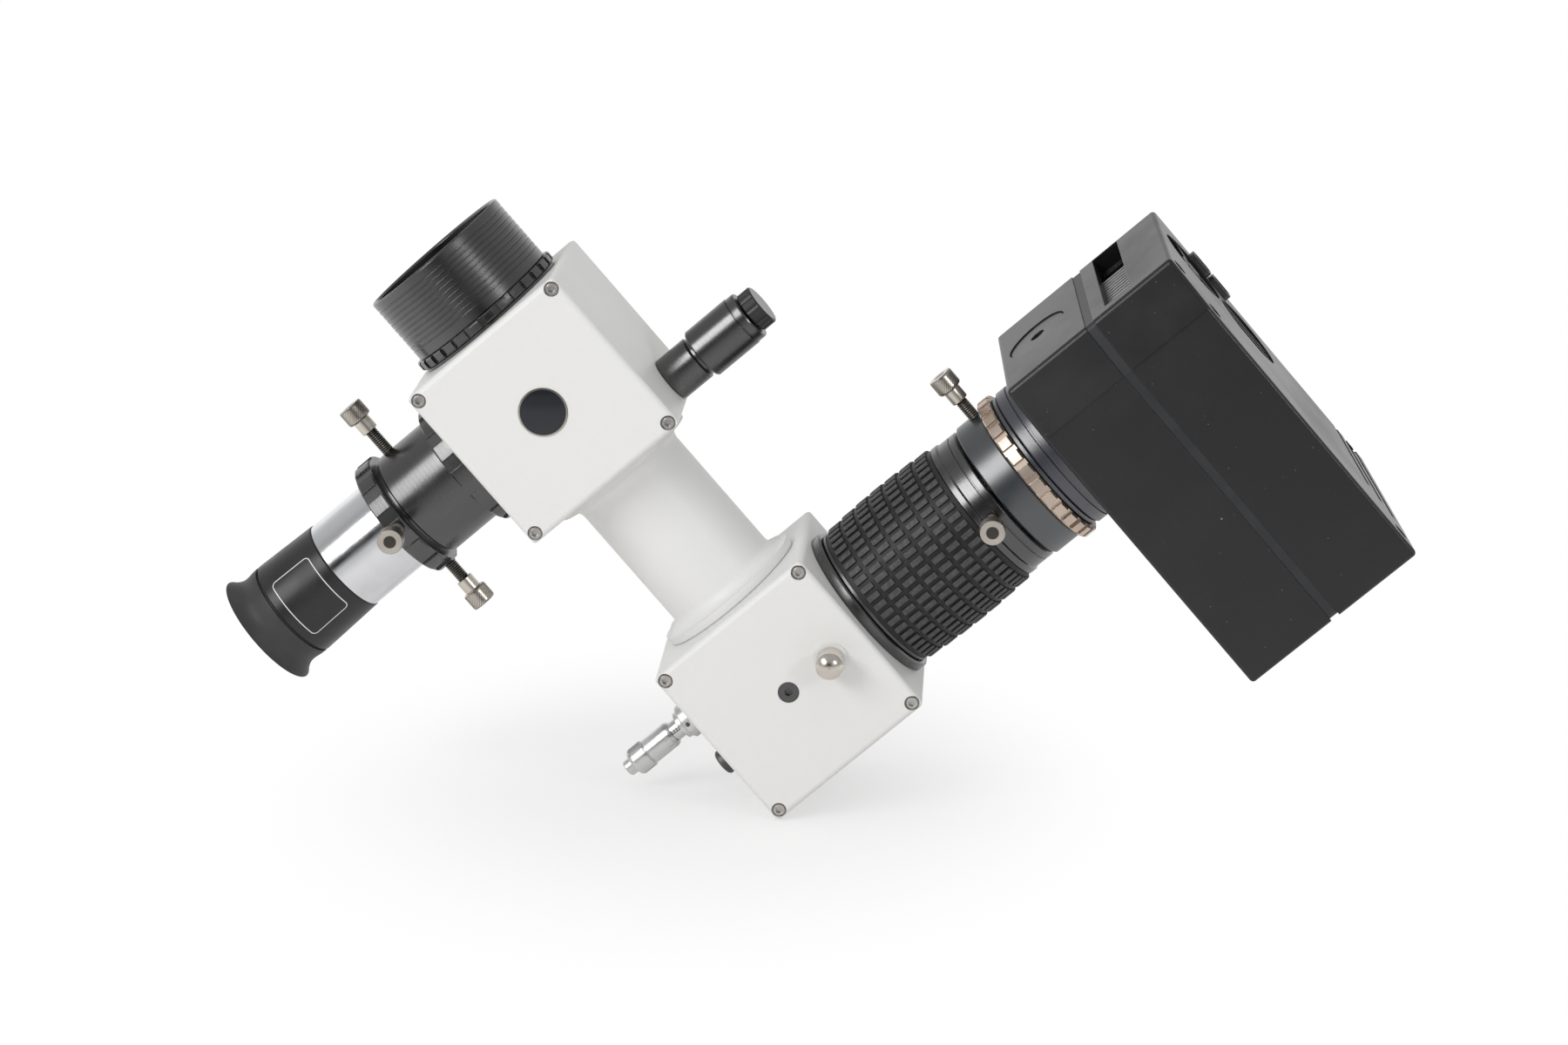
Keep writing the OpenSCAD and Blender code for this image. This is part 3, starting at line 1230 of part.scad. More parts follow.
module shutter_blade() color("#3a3b3e") translate([shutter_x, shutter_y, grating_z + shutter_z])
    rotate([90, 0, 90]) linear_extrude(shutter_t) difference() {
        union() {
            circle(d = shutter_hub_d);
            rotate(shutter_rest) translate([norm([shutter_y, shutter_z]), 0]) circle(shutter_r);
            rotate(shutter_rest) translate([0, -shutter_pin_d])
                square([norm([shutter_y, shutter_z]), 2 * shutter_pin_d]);
        }
        circle(d = shutter_pin_d + 2 * run);
    }

module fan_rotor() color("#1a1a1c") translate([fan_x, port_y, grating_z + port_z_up]) rotate([0, 90, 0]) {
    cylinder(d = fan_hub_d, h = fan_t);
    cylinder(d = fan_shaft_d, h = camera_end_x - fan_x - fan_shaft_in);
    intersection() {
        cylinder(d = fan_d, h = fan_t);
        union() for (i = [0:fan_blades - 1]) rotate(i * 360 / fan_blades) translate([0, 0, fan_t / 2])
            rotate([fan_pitch, 0, 0]) translate([fan_hub_d / 4, -fan_t, -fan_blade_t / 2])
                cube([fan_d, 2 * fan_t, fan_blade_t]);
    }
}

// Round plug in the top face with a tapped hole for a tripod
module desiccant_plug() color("#2b2c2f") on_top(boss_x, boss_y) difference() {
    union() {
        translate([0, 0, -cam_wall]) cylinder(d = tripod_boss_d, h = cam_wall - boss_sink);
        translate([0, 0, -cam_wall - boss_flange_t]) cylinder(d = boss_flange_d, h = boss_flange_t);
        translate([0, 0, -boss_sink - tripod_l - boss_flange_t]) cylinder(d = boss_core_d, h = tripod_l);
    }
    translate([0, 0, -boss_sink - tripod_l]) cylinder(d = tripod_d, h = tripod_l + cut);
}

// Places of the two sockets on the back of the camera
module at_connectors() for (z = connector_z) translate([camera_end_x, connector_y, grating_z + z])
    rotate([0, 90, 0]) children();

// Sockets for the data and power leads in their raised shrouds
module rear_connectors() color("#151517") {
    at_connectors() difference() {
        union() {
            translate([0, 0, -cam_wall]) cylinder(d = connector_stem_d, h = cam_wall);
            linear_extrude(connector_rise) rounded(connector_l, connector_w);
        }
        translate([0, 0, connector_rise - connector_hollow_t]) linear_extrude(connector_hollow_t + cut)
            rounded(connector_l - 2 * connector_wall, connector_w - 2 * connector_wall);
    }
}

nosepiece();
lock_ring();
slit_box();
slit_box_cover();
badge();
cover_screws();
slit_carrier();
slit_plate();
holder_ring();
eyepiece_holder();
clamp_ring();
guide_lens();
holder_screw();
clamp_screw_front();
clamp_screw_bottom();
eyepiece_barrel();
eyepiece_body();
eyecup();
eyepiece_lenses();
lamp_socket();
lamp_body();
lamp_led();
lamp_battery();
lamp_knob();
main_tube();
collimator_lens();
collimator_ring();
grating_box();
grating_box_cover();
pivot_insert();
grating_carrier();
grating();
grating_lock_knob();
micrometer_bushing();
micrometer_sleeve();
micrometer_spindle();
micrometer_thimble();
spring_plug();
spring_plunger();
return_spring();
focuser_base();
focus_grip();
grip_rubber();
drawtube();
objective_lens();
front_collar();
focus_lock_screw();
camera_collar();
camera_clamp_screw();
changer_ring();
adapter_ring();
camera_front();
heat_sink();
camera_rear();
sensor_board();
fan_rotor();
shutter_blade();
desiccant_plug();
rear_connectors();
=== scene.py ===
"""Looks of the slit spectrograph: finishes for its solids, finer pieces, stage, light and camera."""
import math

import bpy
from bpy.props import FloatProperty, FloatVectorProperty, IntProperty, PointerProperty
from mathutils import Matrix, Vector


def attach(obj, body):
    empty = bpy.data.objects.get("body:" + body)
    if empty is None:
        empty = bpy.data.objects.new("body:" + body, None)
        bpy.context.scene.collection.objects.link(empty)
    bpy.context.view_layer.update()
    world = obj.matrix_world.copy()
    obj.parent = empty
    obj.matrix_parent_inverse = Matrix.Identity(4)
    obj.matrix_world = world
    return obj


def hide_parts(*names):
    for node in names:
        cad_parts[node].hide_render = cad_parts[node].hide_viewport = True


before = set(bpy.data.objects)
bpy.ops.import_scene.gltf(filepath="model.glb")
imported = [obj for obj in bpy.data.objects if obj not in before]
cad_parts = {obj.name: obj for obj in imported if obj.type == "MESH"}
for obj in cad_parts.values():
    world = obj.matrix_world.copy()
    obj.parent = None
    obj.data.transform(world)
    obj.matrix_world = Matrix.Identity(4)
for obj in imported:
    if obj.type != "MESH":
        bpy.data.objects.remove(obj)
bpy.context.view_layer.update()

bl_info = {
    "name": "Slit spectrograph looks",
    "version": (1, 0, 0),
    "blender": (4, 5, 0),
    "location": "View3D > Sidebar > Spectrograph",
    "description": "Finishes, finer pieces, stage and camera of a slit spectrograph",
    "category": "Object",
}

MM = 0.001

# Heights of the two boxes, the drive and the lamp, in millimetres
SLIT_Z = -34.6
GRATING_Z = -150.7
DRIVE_Z = GRATING_Z + 7.2
LAMP_Z = SLIT_Z - 21.3

# The photograph's camera: its place and its right, up and backward directions
CAMERA_PLACE = (0.28635, -1.31392, 0.08893)
CAMERA_RIGHT = (0.759392, 0.049531, -0.648745)
CAMERA_UP = (0.621944, 0.237560, 0.746157)
CAMERA_BACK = (0.191074, -0.970109, 0.149596)
CAMERA_LENS = 98.44

# The floor touches the lower left edge of the grating box
FLOOR_NORMAL = (0.640, 0.0, 0.768)
FLOOR_POINT = (-0.030, 0.0, -0.1807)
FLOOR_SIZE = 12.0

# The soft lights stand this far from the middle of the object; each has its size and its direction
LIGHT_AWAY = 1.5
MIDDLE = (0.04, 0.0, -0.10)
LEFT_LIGHT = ((0.40, 0.80), (-0.18, -0.67, 0.72))
RIGHT_LIGHT = ((0.22, 0.28), (0.699, -0.699, -0.15))

# Where the dark figure behind the camera stands in reflections
PHOTOGRAPHER = (-0.10, -0.990, 0.080)


class FinishSettings(bpy.types.PropertyGroup):
    """Colours of the finishes"""
    coat: FloatVectorProperty(name="Box coat", description="Colour of the powder coat", subtype="COLOR",
                              default=(0.765, 0.765, 0.748), min=0, max=1)
    black: FloatVectorProperty(name="Black anodising", description="Colour of the black rings and barrels",
                               subtype="COLOR", default=(0.0050, 0.0050, 0.0056), min=0, max=1)
    camera: FloatVectorProperty(name="Camera coat", description="Colour of the camera housing", subtype="COLOR",
                                default=(0.0080, 0.0083, 0.0095), min=0, max=1)
    nickel: FloatVectorProperty(name="Nickel", description="Colour of the thumbscrews", subtype="COLOR",
                                default=(0.72, 0.67, 0.60), min=0, max=1)
    bronze: FloatVectorProperty(name="Bronze", description="Colour of the changer ring", subtype="COLOR",
                                default=(0.65, 0.54, 0.455), min=0, max=1)
    rubber: FloatVectorProperty(name="Rubber", description="Colour of the grip and the eyecup", subtype="COLOR",
                                default=(0.034, 0.034, 0.036), min=0, max=1)


class ScrewSettings(bpy.types.PropertyGroup):
    """Sizes of the thumbscrews"""
    thread_pitch: FloatProperty(name="Thread pitch", description="Distance between the turns of the thread",
                                default=0.7 * MM, min=0.3 * MM, unit="LENGTH", precision=5)
    thread_depth: FloatProperty(name="Thread depth", description="Depth of the thread", default=0.28 * MM,
                                min=0.05 * MM, unit="LENGTH", precision=5)
    knurls: IntProperty(name="Knurls", description="Number of knurls around a head", default=30, min=8)
    knurl_height: FloatProperty(name="Knurl height", description="Height of a knurl", default=0.22 * MM,
                                min=0, unit="LENGTH", precision=5)


class GripSettings(bpy.types.PropertyGroup):
    """Sizes of the rubber grip"""
    rows: IntProperty(name="Rows", description="Rows of lugs along the grip", default=7, min=2)
    around: IntProperty(name="Lugs around", description="Lugs around the grip", default=48, min=8)
    gap: FloatProperty(name="Gap", description="Gap between lugs", default=1.4 * MM, unit="LENGTH", precision=5)
    margin: FloatProperty(name="Margin", description="Plain margin at each end", default=0.8 * MM, unit="LENGTH",
                          precision=5)
    bevel: FloatProperty(name="Bevel", description="Rounding of a lug's edges", default=0.28 * MM,
                         unit="LENGTH", precision=5)


class CameraSettings(bpy.types.PropertyGroup):
    """Sizes of the camera's shells"""
    rounding: FloatProperty(name="Rounding", description="Rounding of the shells' edges", default=1.3 * MM,
                            unit="LENGTH", precision=5)


class StageSettings(bpy.types.PropertyGroup):
    """Light and floor"""
    left: FloatProperty(name="Left light", description="Power of the tall soft light left of the camera",
                        default=8.0, unit="POWER")
    right: FloatProperty(name="Right light", description="Power of the soft light right of the camera",
                         default=2.6, unit="POWER")
    room: FloatProperty(name="Room light", description="Strength of the even light", default=0.53, min=0)
    front: FloatProperty(name="Front reflection", description="Brightness of the camera's side of the room",
                         default=0.38, min=0, max=1)
    ceiling: FloatProperty(name="Top reflection", description="Brightness of the room overhead", default=0.45,
                           min=0, max=1)


def settings():
    """The scene, which carries the user's settings"""
    return bpy.context.scene


# Shader expressions

class Wire:
    """An output socket in a sum: each operator adds its Math node"""

    def __init__(self, graph, socket):
        self.graph = graph
        self.socket = socket

    def math(self, operation, *others):
        return self.graph.node("ShaderNodeMath", {"operation": operation}, dict(enumerate((self,) + others)))

    def __add__(self, other):
        return self.math("ADD", other)

    def __sub__(self, other):
        return self.math("SUBTRACT", other)

    def __mul__(self, other):
        return self.math("MULTIPLY", other)

    def __lt__(self, other):
        return self.math("LESS_THAN", other)

    def __gt__(self, other):
        return self.math("GREATER_THAN", other)

    def __pow__(self, other):
        return self.math("POWER", other)

    def __rsub__(self, other):
        return self.graph.node("ShaderNodeMath", {"operation": "SUBTRACT"}, {0: other, 1: self})

    def __abs__(self):
        return self.math("ABSOLUTE")

    __radd__ = __add__
    __rmul__ = __mul__

    def fract(self):
        return self.math("FRACT")

    def clip(self):
        return self.graph.node("ShaderNodeMath", {"operation": "ADD", "use_clamp": True}, {0: self, 1: 0.0})

    def step(self, low, high):
        """0 below low, 1 above high"""
        return self.graph.node("ShaderNodeMapRange", {"interpolation_type": "SMOOTHSTEP"},
                               {"Value": self, "From Min": low, "From Max": high})


class Graph:
    """A material's node tree"""

    def __init__(self, name, output="ShaderNodeOutputMaterial", tree=None):
        if tree is None:
            self.material = bpy.data.materials.new(name)
            self.material.use_nodes = True
            tree = self.material.node_tree
        self.tree = tree
        tree.nodes.clear()
        self.output = tree.nodes.new(output)

    def node(self, kind, setup=(), values=(), out=0):
        """A node of this type with its settings and socket values or links, as a Wire on one output"""
        made = self.tree.nodes.new(kind)
        for key, value in dict(setup).items():
            setattr(made, key, value)
        for key, value in dict(values).items():
            self.feed(made.inputs[key], value)
        return Wire(self, made.outputs[out])

    def feed(self, socket, value):
        if isinstance(value, Wire):
            self.tree.links.new(value.socket, socket)
        elif socket.type == "RGBA" and len(value) == 3:
            socket.default_value = (*value, 1.0)
        else:
            socket.default_value = value

    def place(self):
        """Object coordinates in metres"""
        return self.node("ShaderNodeTexCoord", out="Object")

    def xyz(self):
        split = self.node("ShaderNodeSeparateXYZ", values={0: self.place()})
        return [Wire(self, s) for s in split.socket.node.outputs]

    def local(self):
        """The piece's own coordinates from before it was put in its place"""
        split = self.node("ShaderNodeSeparateXYZ", values={
            0: self.node("ShaderNodeAttribute", {"attribute_name": "local"}, out="Vector")})
        return [Wire(self, s) for s in split.socket.node.outputs]

    def noise(self, scale, detail=3.0, rough=0.5, stretch=None, seed=0.0):
        where = self.place()
        if stretch or seed:
            where = self.node("ShaderNodeMapping", values={"Vector": where, "Scale": stretch or (1, 1, 1),
                                                           "Location": (seed, seed, seed)})
        return self.node("ShaderNodeTexNoise", values={"Vector": where, "Scale": scale, "Detail": detail,
                                                       "Roughness": rough})

    def specks(self, scale, size, seed=0.0):
        """1 in small round spots, one in each cell of a grid of this scale"""
        where = self.node("ShaderNodeMapping", values={"Vector": self.place(), "Location": (seed, seed, seed)})
        far = self.node("ShaderNodeTexVoronoi", values={"Vector": where, "Scale": scale, "Randomness": 1.0})
        return far < size

    def streaks(self, scale, size, angle, seed=0.0):
        """1 in short thin strokes that lean by this angle"""
        where = self.node("ShaderNodeMapping", values={"Vector": self.place(), "Rotation": (0.0, angle, angle),
                                                       "Location": (seed, seed, seed)})
        where = self.node("ShaderNodeMapping", values={"Vector": where, "Scale": (1.0, 1.0, 0.07)})
        far = self.node("ShaderNodeTexVoronoi", values={"Vector": where, "Scale": scale, "Randomness": 1.0})
        return far < size

    def mix(self, factor, a, b):
        """Colours mixed by a factor"""
        made = self.tree.nodes.new("ShaderNodeMix")
        made.data_type = "RGBA"
        for key, value in ((0, factor), (6, a), (7, b)):
            self.feed(made.inputs[key], value)
        return Wire(self, made.outputs[2])

    def shade(self, colour, rough, metal=0.0, bump=None, height=0.00002, edge=0.0, **constants):
        """The surface: colour, roughness and metal may vary, edge rounds the shading of sharp edges"""
        values = {"Base Color": colour, "Roughness": rough, "Metallic": metal}
        normal = None
        if edge:
            normal = self.node("ShaderNodeBevel", {"samples": 4}, {"Radius": edge})
        if bump is not None:
            inputs = {"Height": bump, "Distance": height, "Strength": 1.0}
            if normal:
                inputs["Normal"] = normal
            normal = self.node("ShaderNodeBump", values=inputs)
        if normal:
            values["Normal"] = normal
        values.update({key.replace("_", " "): value for key, value in constants.items()})
        surface = self.node("ShaderNodeBsdfPrincipled", values=values)
        self.tree.links.new(surface.socket, self.output.inputs["Surface"])
        return self.material


# Finishes

def coat_finish():
    """Warm white powder coat with its fine orange peel"""
    g = Graph("powder_coat")
    tone = tuple(settings().spectro_finish.coat)
    warm = g.noise(14, 3).step(0.35, 0.7)
    colour = g.mix(warm * 0.5, tone, tuple(c * 0.965 for c in tone))
    colour = g.mix(g.specks(900, 0.07) * 0.25, colour, tuple(c * 0.72 for c in tone))
    peel = g.noise(1500, 2, 0.6) * 0.6 + g.noise(620, 2) * 0.4
    return g.shade(colour, 0.40 + g.noise(60, 2) * 0.10, bump=peel, height=0.00007, edge=0.00025)


def black_finish(name="black_anodising", tone=None, rough=0.20, metal=0.0, dust=0.35, edge=0.0003, turned=None,
                 groove_shade_radius=None):
    """Satin anodised aluminium with faint turning marks and dust; inside a groove's radius its colour is
    darkened, a painted shade
    """
    g = Graph(name)
    tone = tone or tuple(settings().spectro_finish.black)
    cloud = g.noise(55, 4).step(0.35, 0.75)
    colour = g.mix(cloud * 0.35, tone, tuple(c * 1.45 + 0.002 for c in tone))
    specks = g.specks(420, 0.045, 3.1) + g.specks(1100, 0.05, 7.7) * 0.6
    colour = g.mix((specks * dust).clip(), colour, (0.30, 0.30, 0.29))
    grain = g.noise(2600, 2, 0.6)
    x, y, z = g.xyz()
    if turned is not None:
        grain = grain * 0.6 + ((x, y, z)[turned] * 4200.0).math("SINE") * 0.10
    if groove_shade_radius is not None:
        # Painted shade: inside the groove's radius the colour is darkened to a third
        colour = g.mix((x * x + y * y) ** 0.5 < groove_shade_radius, colour, tuple(c * 0.3 for c in tone))
    return g.shade(colour, rough + cloud * 0.08 + grain * 0.05, metal, bump=grain, height=0.000010, edge=edge,
                   Specular_IOR_Level=0.9, IOR=1.7)


def camera_finish(name="camera_coat", tone=None):
    """Blasted and anodised housing with dust, smudges and hair-fine scratches"""
    g = Graph(name)
    tone = tone or tuple(settings().spectro_finish.camera)
    smudge = g.noise(22, 5, 0.6).step(0.42, 0.72)
    colour = g.mix(smudge * 0.55, tone, tuple(c * 1.6 + 0.003 for c in tone))
    dust = g.specks(260, 0.035, 1.7) + g.specks(90, 0.028, 5.3) + g.specks(720, 0.05, 9.1) * 0.5
    colour = g.mix((dust * 0.45).clip(), colour, (0.42, 0.41, 0.39))
    scratch = g.streaks(46, 0.012, 0.62, 2.4) + g.streaks(60, 0.009, -0.5, 6.1)
    where = g.noise(11, 2, 0.5, seed=4.0).step(0.50, 0.60)
    colour = g.mix((scratch * where * 0.35).clip(), colour, (0.20, 0.20, 0.21))
    grain = g.noise(3000, 2, 0.7)
    return g.shade(colour, 0.29 + smudge * 0.08 + grain * 0.06, bump=grain, height=0.000014, edge=0.0005,
                   Specular_IOR_Level=0.6)


def metal_finish(name, tone, rough=0.22, brushed=None, edge=0.0002):
    """Bright metal with fine machining marks"""
    g = Graph(name)
    cloud = g.noise(120, 3).step(0.3, 0.8)
    colour = g.mix(cloud * 0.5, tone, tuple(c * 0.82 for c in tone))
    grain = g.noise(1800, 2, 0.6)
    if brushed is not None:
        stretch = [60.0, 60.0, 60.0]
        stretch[brushed] = 4200.0
        grain = g.noise(1.0, 3, 0.6, stretch=tuple(stretch))
    return g.shade(colour, rough + cloud * 0.08 + grain * 0.08, 1.0, bump=grain, height=0.000006, edge=edge)


def rubber_finish(name="eyecup_rubber", crest=None):
    """Matt rubber, greyer where dust settles; below the crest of the grip's lugs painted shade darkens it"""
    g = Graph(name)
    tone = tuple(settings().spectro_finish.rubber)
    cloud = g.noise(160, 4).step(0.4, 0.75)
    colour = g.mix(cloud * 0.6, tone, tuple(c * 1.35 + 0.003 for c in tone))
    colour = g.mix(g.specks(800, 0.06, 2.2) * 0.4, colour, (0.16, 0.16, 0.155))
    if crest:
        x, y, z = g.local()
        low, high, radius, swell = crest
        lip = ((z - low) * (math.pi / (high - low))).math("SINE") * swell + radius
        # Painted shade: darker in the valleys below the crest of the lugs
        painted_valley_shade = (lip - (x * x + y * y) ** 0.5).step(0.20 * MM, 0.55 * MM)
        worn = g.noise(900, 3, 0.7).step(0.40, 0.7) * 0.6 + 0.2
        colour = g.mix(painted_valley_shade, g.mix(worn, colour, (0.095, 0.095, 0.098)), tuple(c * 0.45 for c in tone))
    grain = g.noise(2200, 3, 0.6)
    return g.shade(colour, 0.50 + cloud * 0.12, bump=grain, height=0.00003, Specular_IOR_Level=0.45)


def thumbscrew_finish():
    """Nickel with painted shade in the thread and the knurl valleys, and a painted sheen of darker wedges across
    the faced end
    """
    g = Graph("nickel_finish")
    tone = tuple(settings().spectro_finish.nickel)
    x, y, _ = g.local()
    thread_r, valley_r, crest_r = 2.05 * MM, 3.75 * MM, 3.99 * MM
    radius = (x * x + y * y) ** 0.5
    turn = y.math("ARCTAN2", x)
    # Painted sheen: two opposite wedges across the faced end are darkened
    face = (radius > 0.3 * MM) * (radius < 3.7 * MM) * ((turn * 2.0 + 0.7).math("COSINE") * 0.5 + 0.5)
    colour = g.mix(g.noise(300, 3).step(0.3, 0.8) * 0.4, tone, tuple(c * 0.84 for c in tone))
    colour = g.mix(face * 0.30, colour, tuple(c * 0.70 for c in tone))
    # Painted shade: the knurl valleys and the thread, darkest in its roots, are darkened
    painted_valley_shade = (radius > valley_r) * (crest_r > radius)
    thread = 1.0 - radius.step(1.80 * MM, thread_r)
    dark = (painted_valley_shade * 0.55 + (radius < thread_r) * (0.45 + thread * 0.5)).clip()
    colour = g.mix(dark, colour, (0.06, 0.055, 0.05))
    rings = (radius * 24000.0).math("SINE") * 0.3 + g.noise(1800, 2, 0.6)
    return g.shade(colour, 0.25 + g.noise(120, 2) * 0.08, 1.0, bump=rings, height=0.000004, edge=0.00008)


def glass_finish():
    """Coated lens glass"""
    g = Graph("lens_glass_finish")
    colour = g.mix(g.noise(40, 2), (0.90, 0.96, 0.98), (0.84, 0.92, 0.97))
    return g.shade(colour, 0.02 + g.noise(300, 2) * 0.02, Transmission_Weight=0.9, IOR=1.5)


def scale_finish(name, axis_z, start, marks, pitch, tone, dividing=False):
    """Satin metal barrel along X with engraved black divisions"""
    g = Graph(name)
    x, y, z = g.xyz()
    cloud = g.noise(150, 3).step(0.3, 0.8)
    colour = g.mix(cloud * 0.4, tone, tuple(c * 0.85 for c in tone))
    turn = (z - axis_z).math("ARCTAN2", y * -1.0)
    if dividing:
        steps = turn * (marks / (2 * math.pi))
        stroke = abs(steps.fract() - 0.5) > 0.5 - 0.09
        fifth = abs((steps * 0.2).fract() - 0.5) > 0.5 - 0.02
        reach = (x > start - pitch) * stroke + (x > start - pitch * 2) * fifth
        ink = (reach * (x < start)).clip()
    else:
        steps = (x - start) * (-1.0 / pitch)
        stroke = abs(steps.fract() - 0.5) > 0.5 - 0.12
        side = (turn > 0.0) * (turn < 0.5)
        line = abs(turn) < 0.045
        ink = (stroke * side + line).clip()
    colour = g.mix(ink * 0.92, colour, (0.02, 0.02, 0.022))
    grain = g.noise(1.0, 3, 0.6, stretch=(4200.0, 60.0, 60.0))
    return g.shade(colour, 0.26 + grain * 0.08 + ink * 0.2, 1.0 - ink * 0.9, bump=grain, height=0.000006,
                   edge=0.0001)


def label_finish():
    """Eyepiece body with the printed outline of a label, its field left bare"""
    g = Graph("eyepiece_body_finish")
    x, y, z = g.xyz()
    tone = (0.013, 0.013, 0.014)
    cloud = g.noise(80, 4).step(0.35, 0.75)
    colour = g.mix(cloud * 0.4, tone, (0.026, 0.026, 0.028))
    around = ((z - SLIT_Z * MM).math("ARCTAN2", y * -1.0) - 0.06) * 16.8
    along = (x + 100.3 * MM) * 1000.0
    across = abs(around) - 9.6
    lengthwise = abs(along) - 5.8
    corner = (across.math("MAXIMUM", 0.0) ** 2.0 + lengthwise.math("MAXIMUM", 0.0) ** 2.0) ** 0.5
    inside = across.math("MAXIMUM", lengthwise).math("MINIMUM", 0.0)
    distance = corner + inside - 1.6
    line = abs(distance) < 0.16
    colour = g.mix(line, colour, (0.70, 0.70, 0.68))
    colour = g.mix((g.specks(500, 0.05, 6.0) * 0.35).clip(), colour, (0.3, 0.3, 0.29))
    grain = g.noise(2400, 2, 0.6)
    return g.shade(colour, 0.33 + cloud * 0.1, bump=grain, height=0.000012, edge=0.0003)


def badge_finish():
    """Dark domed resin with a bright rim"""
    g = Graph("badge_finish")
    x, _, z = g.xyz()
    radius = (x * x + (z - SLIT_Z * MM) * (z - SLIT_Z * MM)) ** 0.5
    rim = radius > 7.15 * MM
    colour = g.mix(g.noise(90, 2), (0.014, 0.016, 0.020), (0.020, 0.023, 0.028))
    colour = g.mix(rim, colour, (0.55, 0.52, 0.45))
    return g.shade(colour, 0.10 + rim * 0.15, rim * 1.0)


def knob_finish():
    """Lamp knob: black knurls and a bare grey end"""
    g = Graph("lamp_knob_finish")
    x, y, z = g.xyz()
    radius = (y * y + (z - LAMP_Z * MM) * (z - LAMP_Z * MM)) ** 0.5
    end = (x > 67.9 * MM) * (radius < 6.2 * MM)
    colour = g.mix(end, (0.016, 0.016, 0.018), (0.30, 0.305, 0.315))
    colour = g.mix(g.noise(200, 3) * 0.2, colour, (0.06, 0.06, 0.062))
    return g.shade(colour, 0.36 + g.noise(900, 2) * 0.08, bump=g.noise(2400, 2), height=0.00001, edge=0.0002)


def fin_finish():
    """Black middle plate with bare aluminium fins behind it"""
    g = Graph("fin_finish")
    fins = g.xyz()[0] > 146.85 * MM
    colour = g.mix(g.noise(120, 3).step(0.35, 0.7) * 0.5, (0.020, 0.021, 0.024), (0.030, 0.031, 0.034))
    bare = g.mix(g.noise(400, 3), (0.36, 0.36, 0.36), (0.46, 0.46, 0.455))
    return g.shade(g.mix(fins, colour, bare), 0.42 + g.noise(900, 2) * 0.08, fins, bump=g.noise(2600, 2),
                   height=0.00001, edge=0.0002)


def board_finish():
    """Circuit board with its dark sensor window"""
    g = Graph("board_finish")
    chip = g.xyz()[0] < 127.9 * MM
    colour = g.mix(g.noise(400, 3).step(0.4, 0.6), (0.010, 0.075, 0.035), (0.020, 0.12, 0.06))
    colour = g.mix(chip, colour, (0.02, 0.022, 0.03))
    return g.shade(colour, 0.4 - chip * 0.25 + g.noise(500, 2) * 0.05, edge=0.0001)


def finish(node, material):
    """Gives a CAD solid its finish"""
    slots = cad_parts[node].data.materials
    if len(slots) == 0:
        slots.append(material)
    for i in range(len(slots)):
        slots[i] = material


# Modelling by hand

def deselect():
    bpy.ops.object.select_all(action="DESELECT")


def turned(profile, steps=64, hollow=False):
    """A turned piece along Z: a circle is extruded and scaled through [radius, height] points in metres"""
    deselect()
    (r, z) = profile[0]
    bpy.ops.mesh.primitive_circle_add(vertices=steps, radius=r, location=(0, 0, z),
                                      fill_type="NOTHING" if hollow else "NGON")
    bpy.ops.object.transform_apply(location=True, rotation=True, scale=True)
    bpy.ops.object.mode_set(mode="EDIT")
    bpy.ops.mesh.select_mode(type="VERT")
    bpy.ops.mesh.select_all(action="SELECT")
    for (r1, z1) in profile[1:]:
        bpy.ops.mesh.extrude_region_move(TRANSFORM_OT_translate={"value": (0, 0, z1 - z)})
        if r1 != r:
            bpy.ops.transform.resize(value=(r1 / r, r1 / r, 1), center_override=(0, 0, z1))
        r, z = r1, z1
    bpy.ops.mesh.select_all(action="SELECT")
    if hollow:
        bpy.ops.mesh.remove_doubles(threshold=1e-7)
    bpy.ops.mesh.normals_make_consistent(inside=False)
    bpy.ops.object.mode_set(mode="OBJECT")
    return bpy.context.object


def knurl(piece, radius, low, pitch, rows, steps, height):
    """Raises every second corner of a drum's grid, staggered from row to row, into diamonds"""
    bpy.ops.object.mode_set(mode="OBJECT")
    for seq in (piece.data.vertices, piece.data.edges, piece.data.polygons):
        seq.foreach_set("select", [False] * len(seq))
    for v in piece.data.vertices:
        row = round((v.co.z - low) / pitch)
        turn = round(math.atan2(v.co.y, v.co.x) * steps / (2 * math.pi))
        on_drum = abs(math.hypot(v.co.x, v.co.y) - radius) < 1e-6 and abs(v.co.z - low - row * pitch) < 1e-6
        v.select = on_drum and 0 < row < rows and (row + turn) % 2 == 0
    bpy.context.view_layer.objects.active = piece
    bpy.ops.object.mode_set(mode="EDIT")
    bpy.ops.mesh.select_mode(type="VERT")
    grow = 1 + height / radius
    bpy.ops.transform.resize(value=(grow, grow, 1), center_override=(0, 0, 0))
    bpy.ops.object.mode_set(mode="OBJECT")


def put(piece, name, place, direction, angle=30, body=None, replaced=(), material=None):
    """Points a piece's Z along a direction, settles it there, names it, gives it its finish, puts it on its body
    and hides the solids it replaces
    """
    local = piece.data.attributes.new("local", "FLOAT_VECTOR", "POINT")
    local.data.foreach_set("vector", [c for v in piece.data.vertices for c in v.co])
    deselect()
    piece.select_set(True)
    bpy.context.view_layer.objects.active = piece
    if direction:
        piece.rotation_euler = Vector(direction).to_track_quat("Z", "Y").to_euler()
        piece.location = place
    bpy.ops.object.transform_apply(location=True, rotation=True, scale=True)
    bpy.ops.object.shade_smooth_by_angle(angle=math.radians(angle))
    bpy.ops.object.modifier_add(type="WEIGHTED_NORMAL")
    piece.modifiers[-1].keep_sharp = True
    bpy.ops.object.modifier_apply(modifier=piece.modifiers[-1].name)
    piece.name = piece.data.name = name
    piece.data.materials.clear()
    piece.data.materials.append(material)
    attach(piece, body)
    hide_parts(*replaced)
    return piece


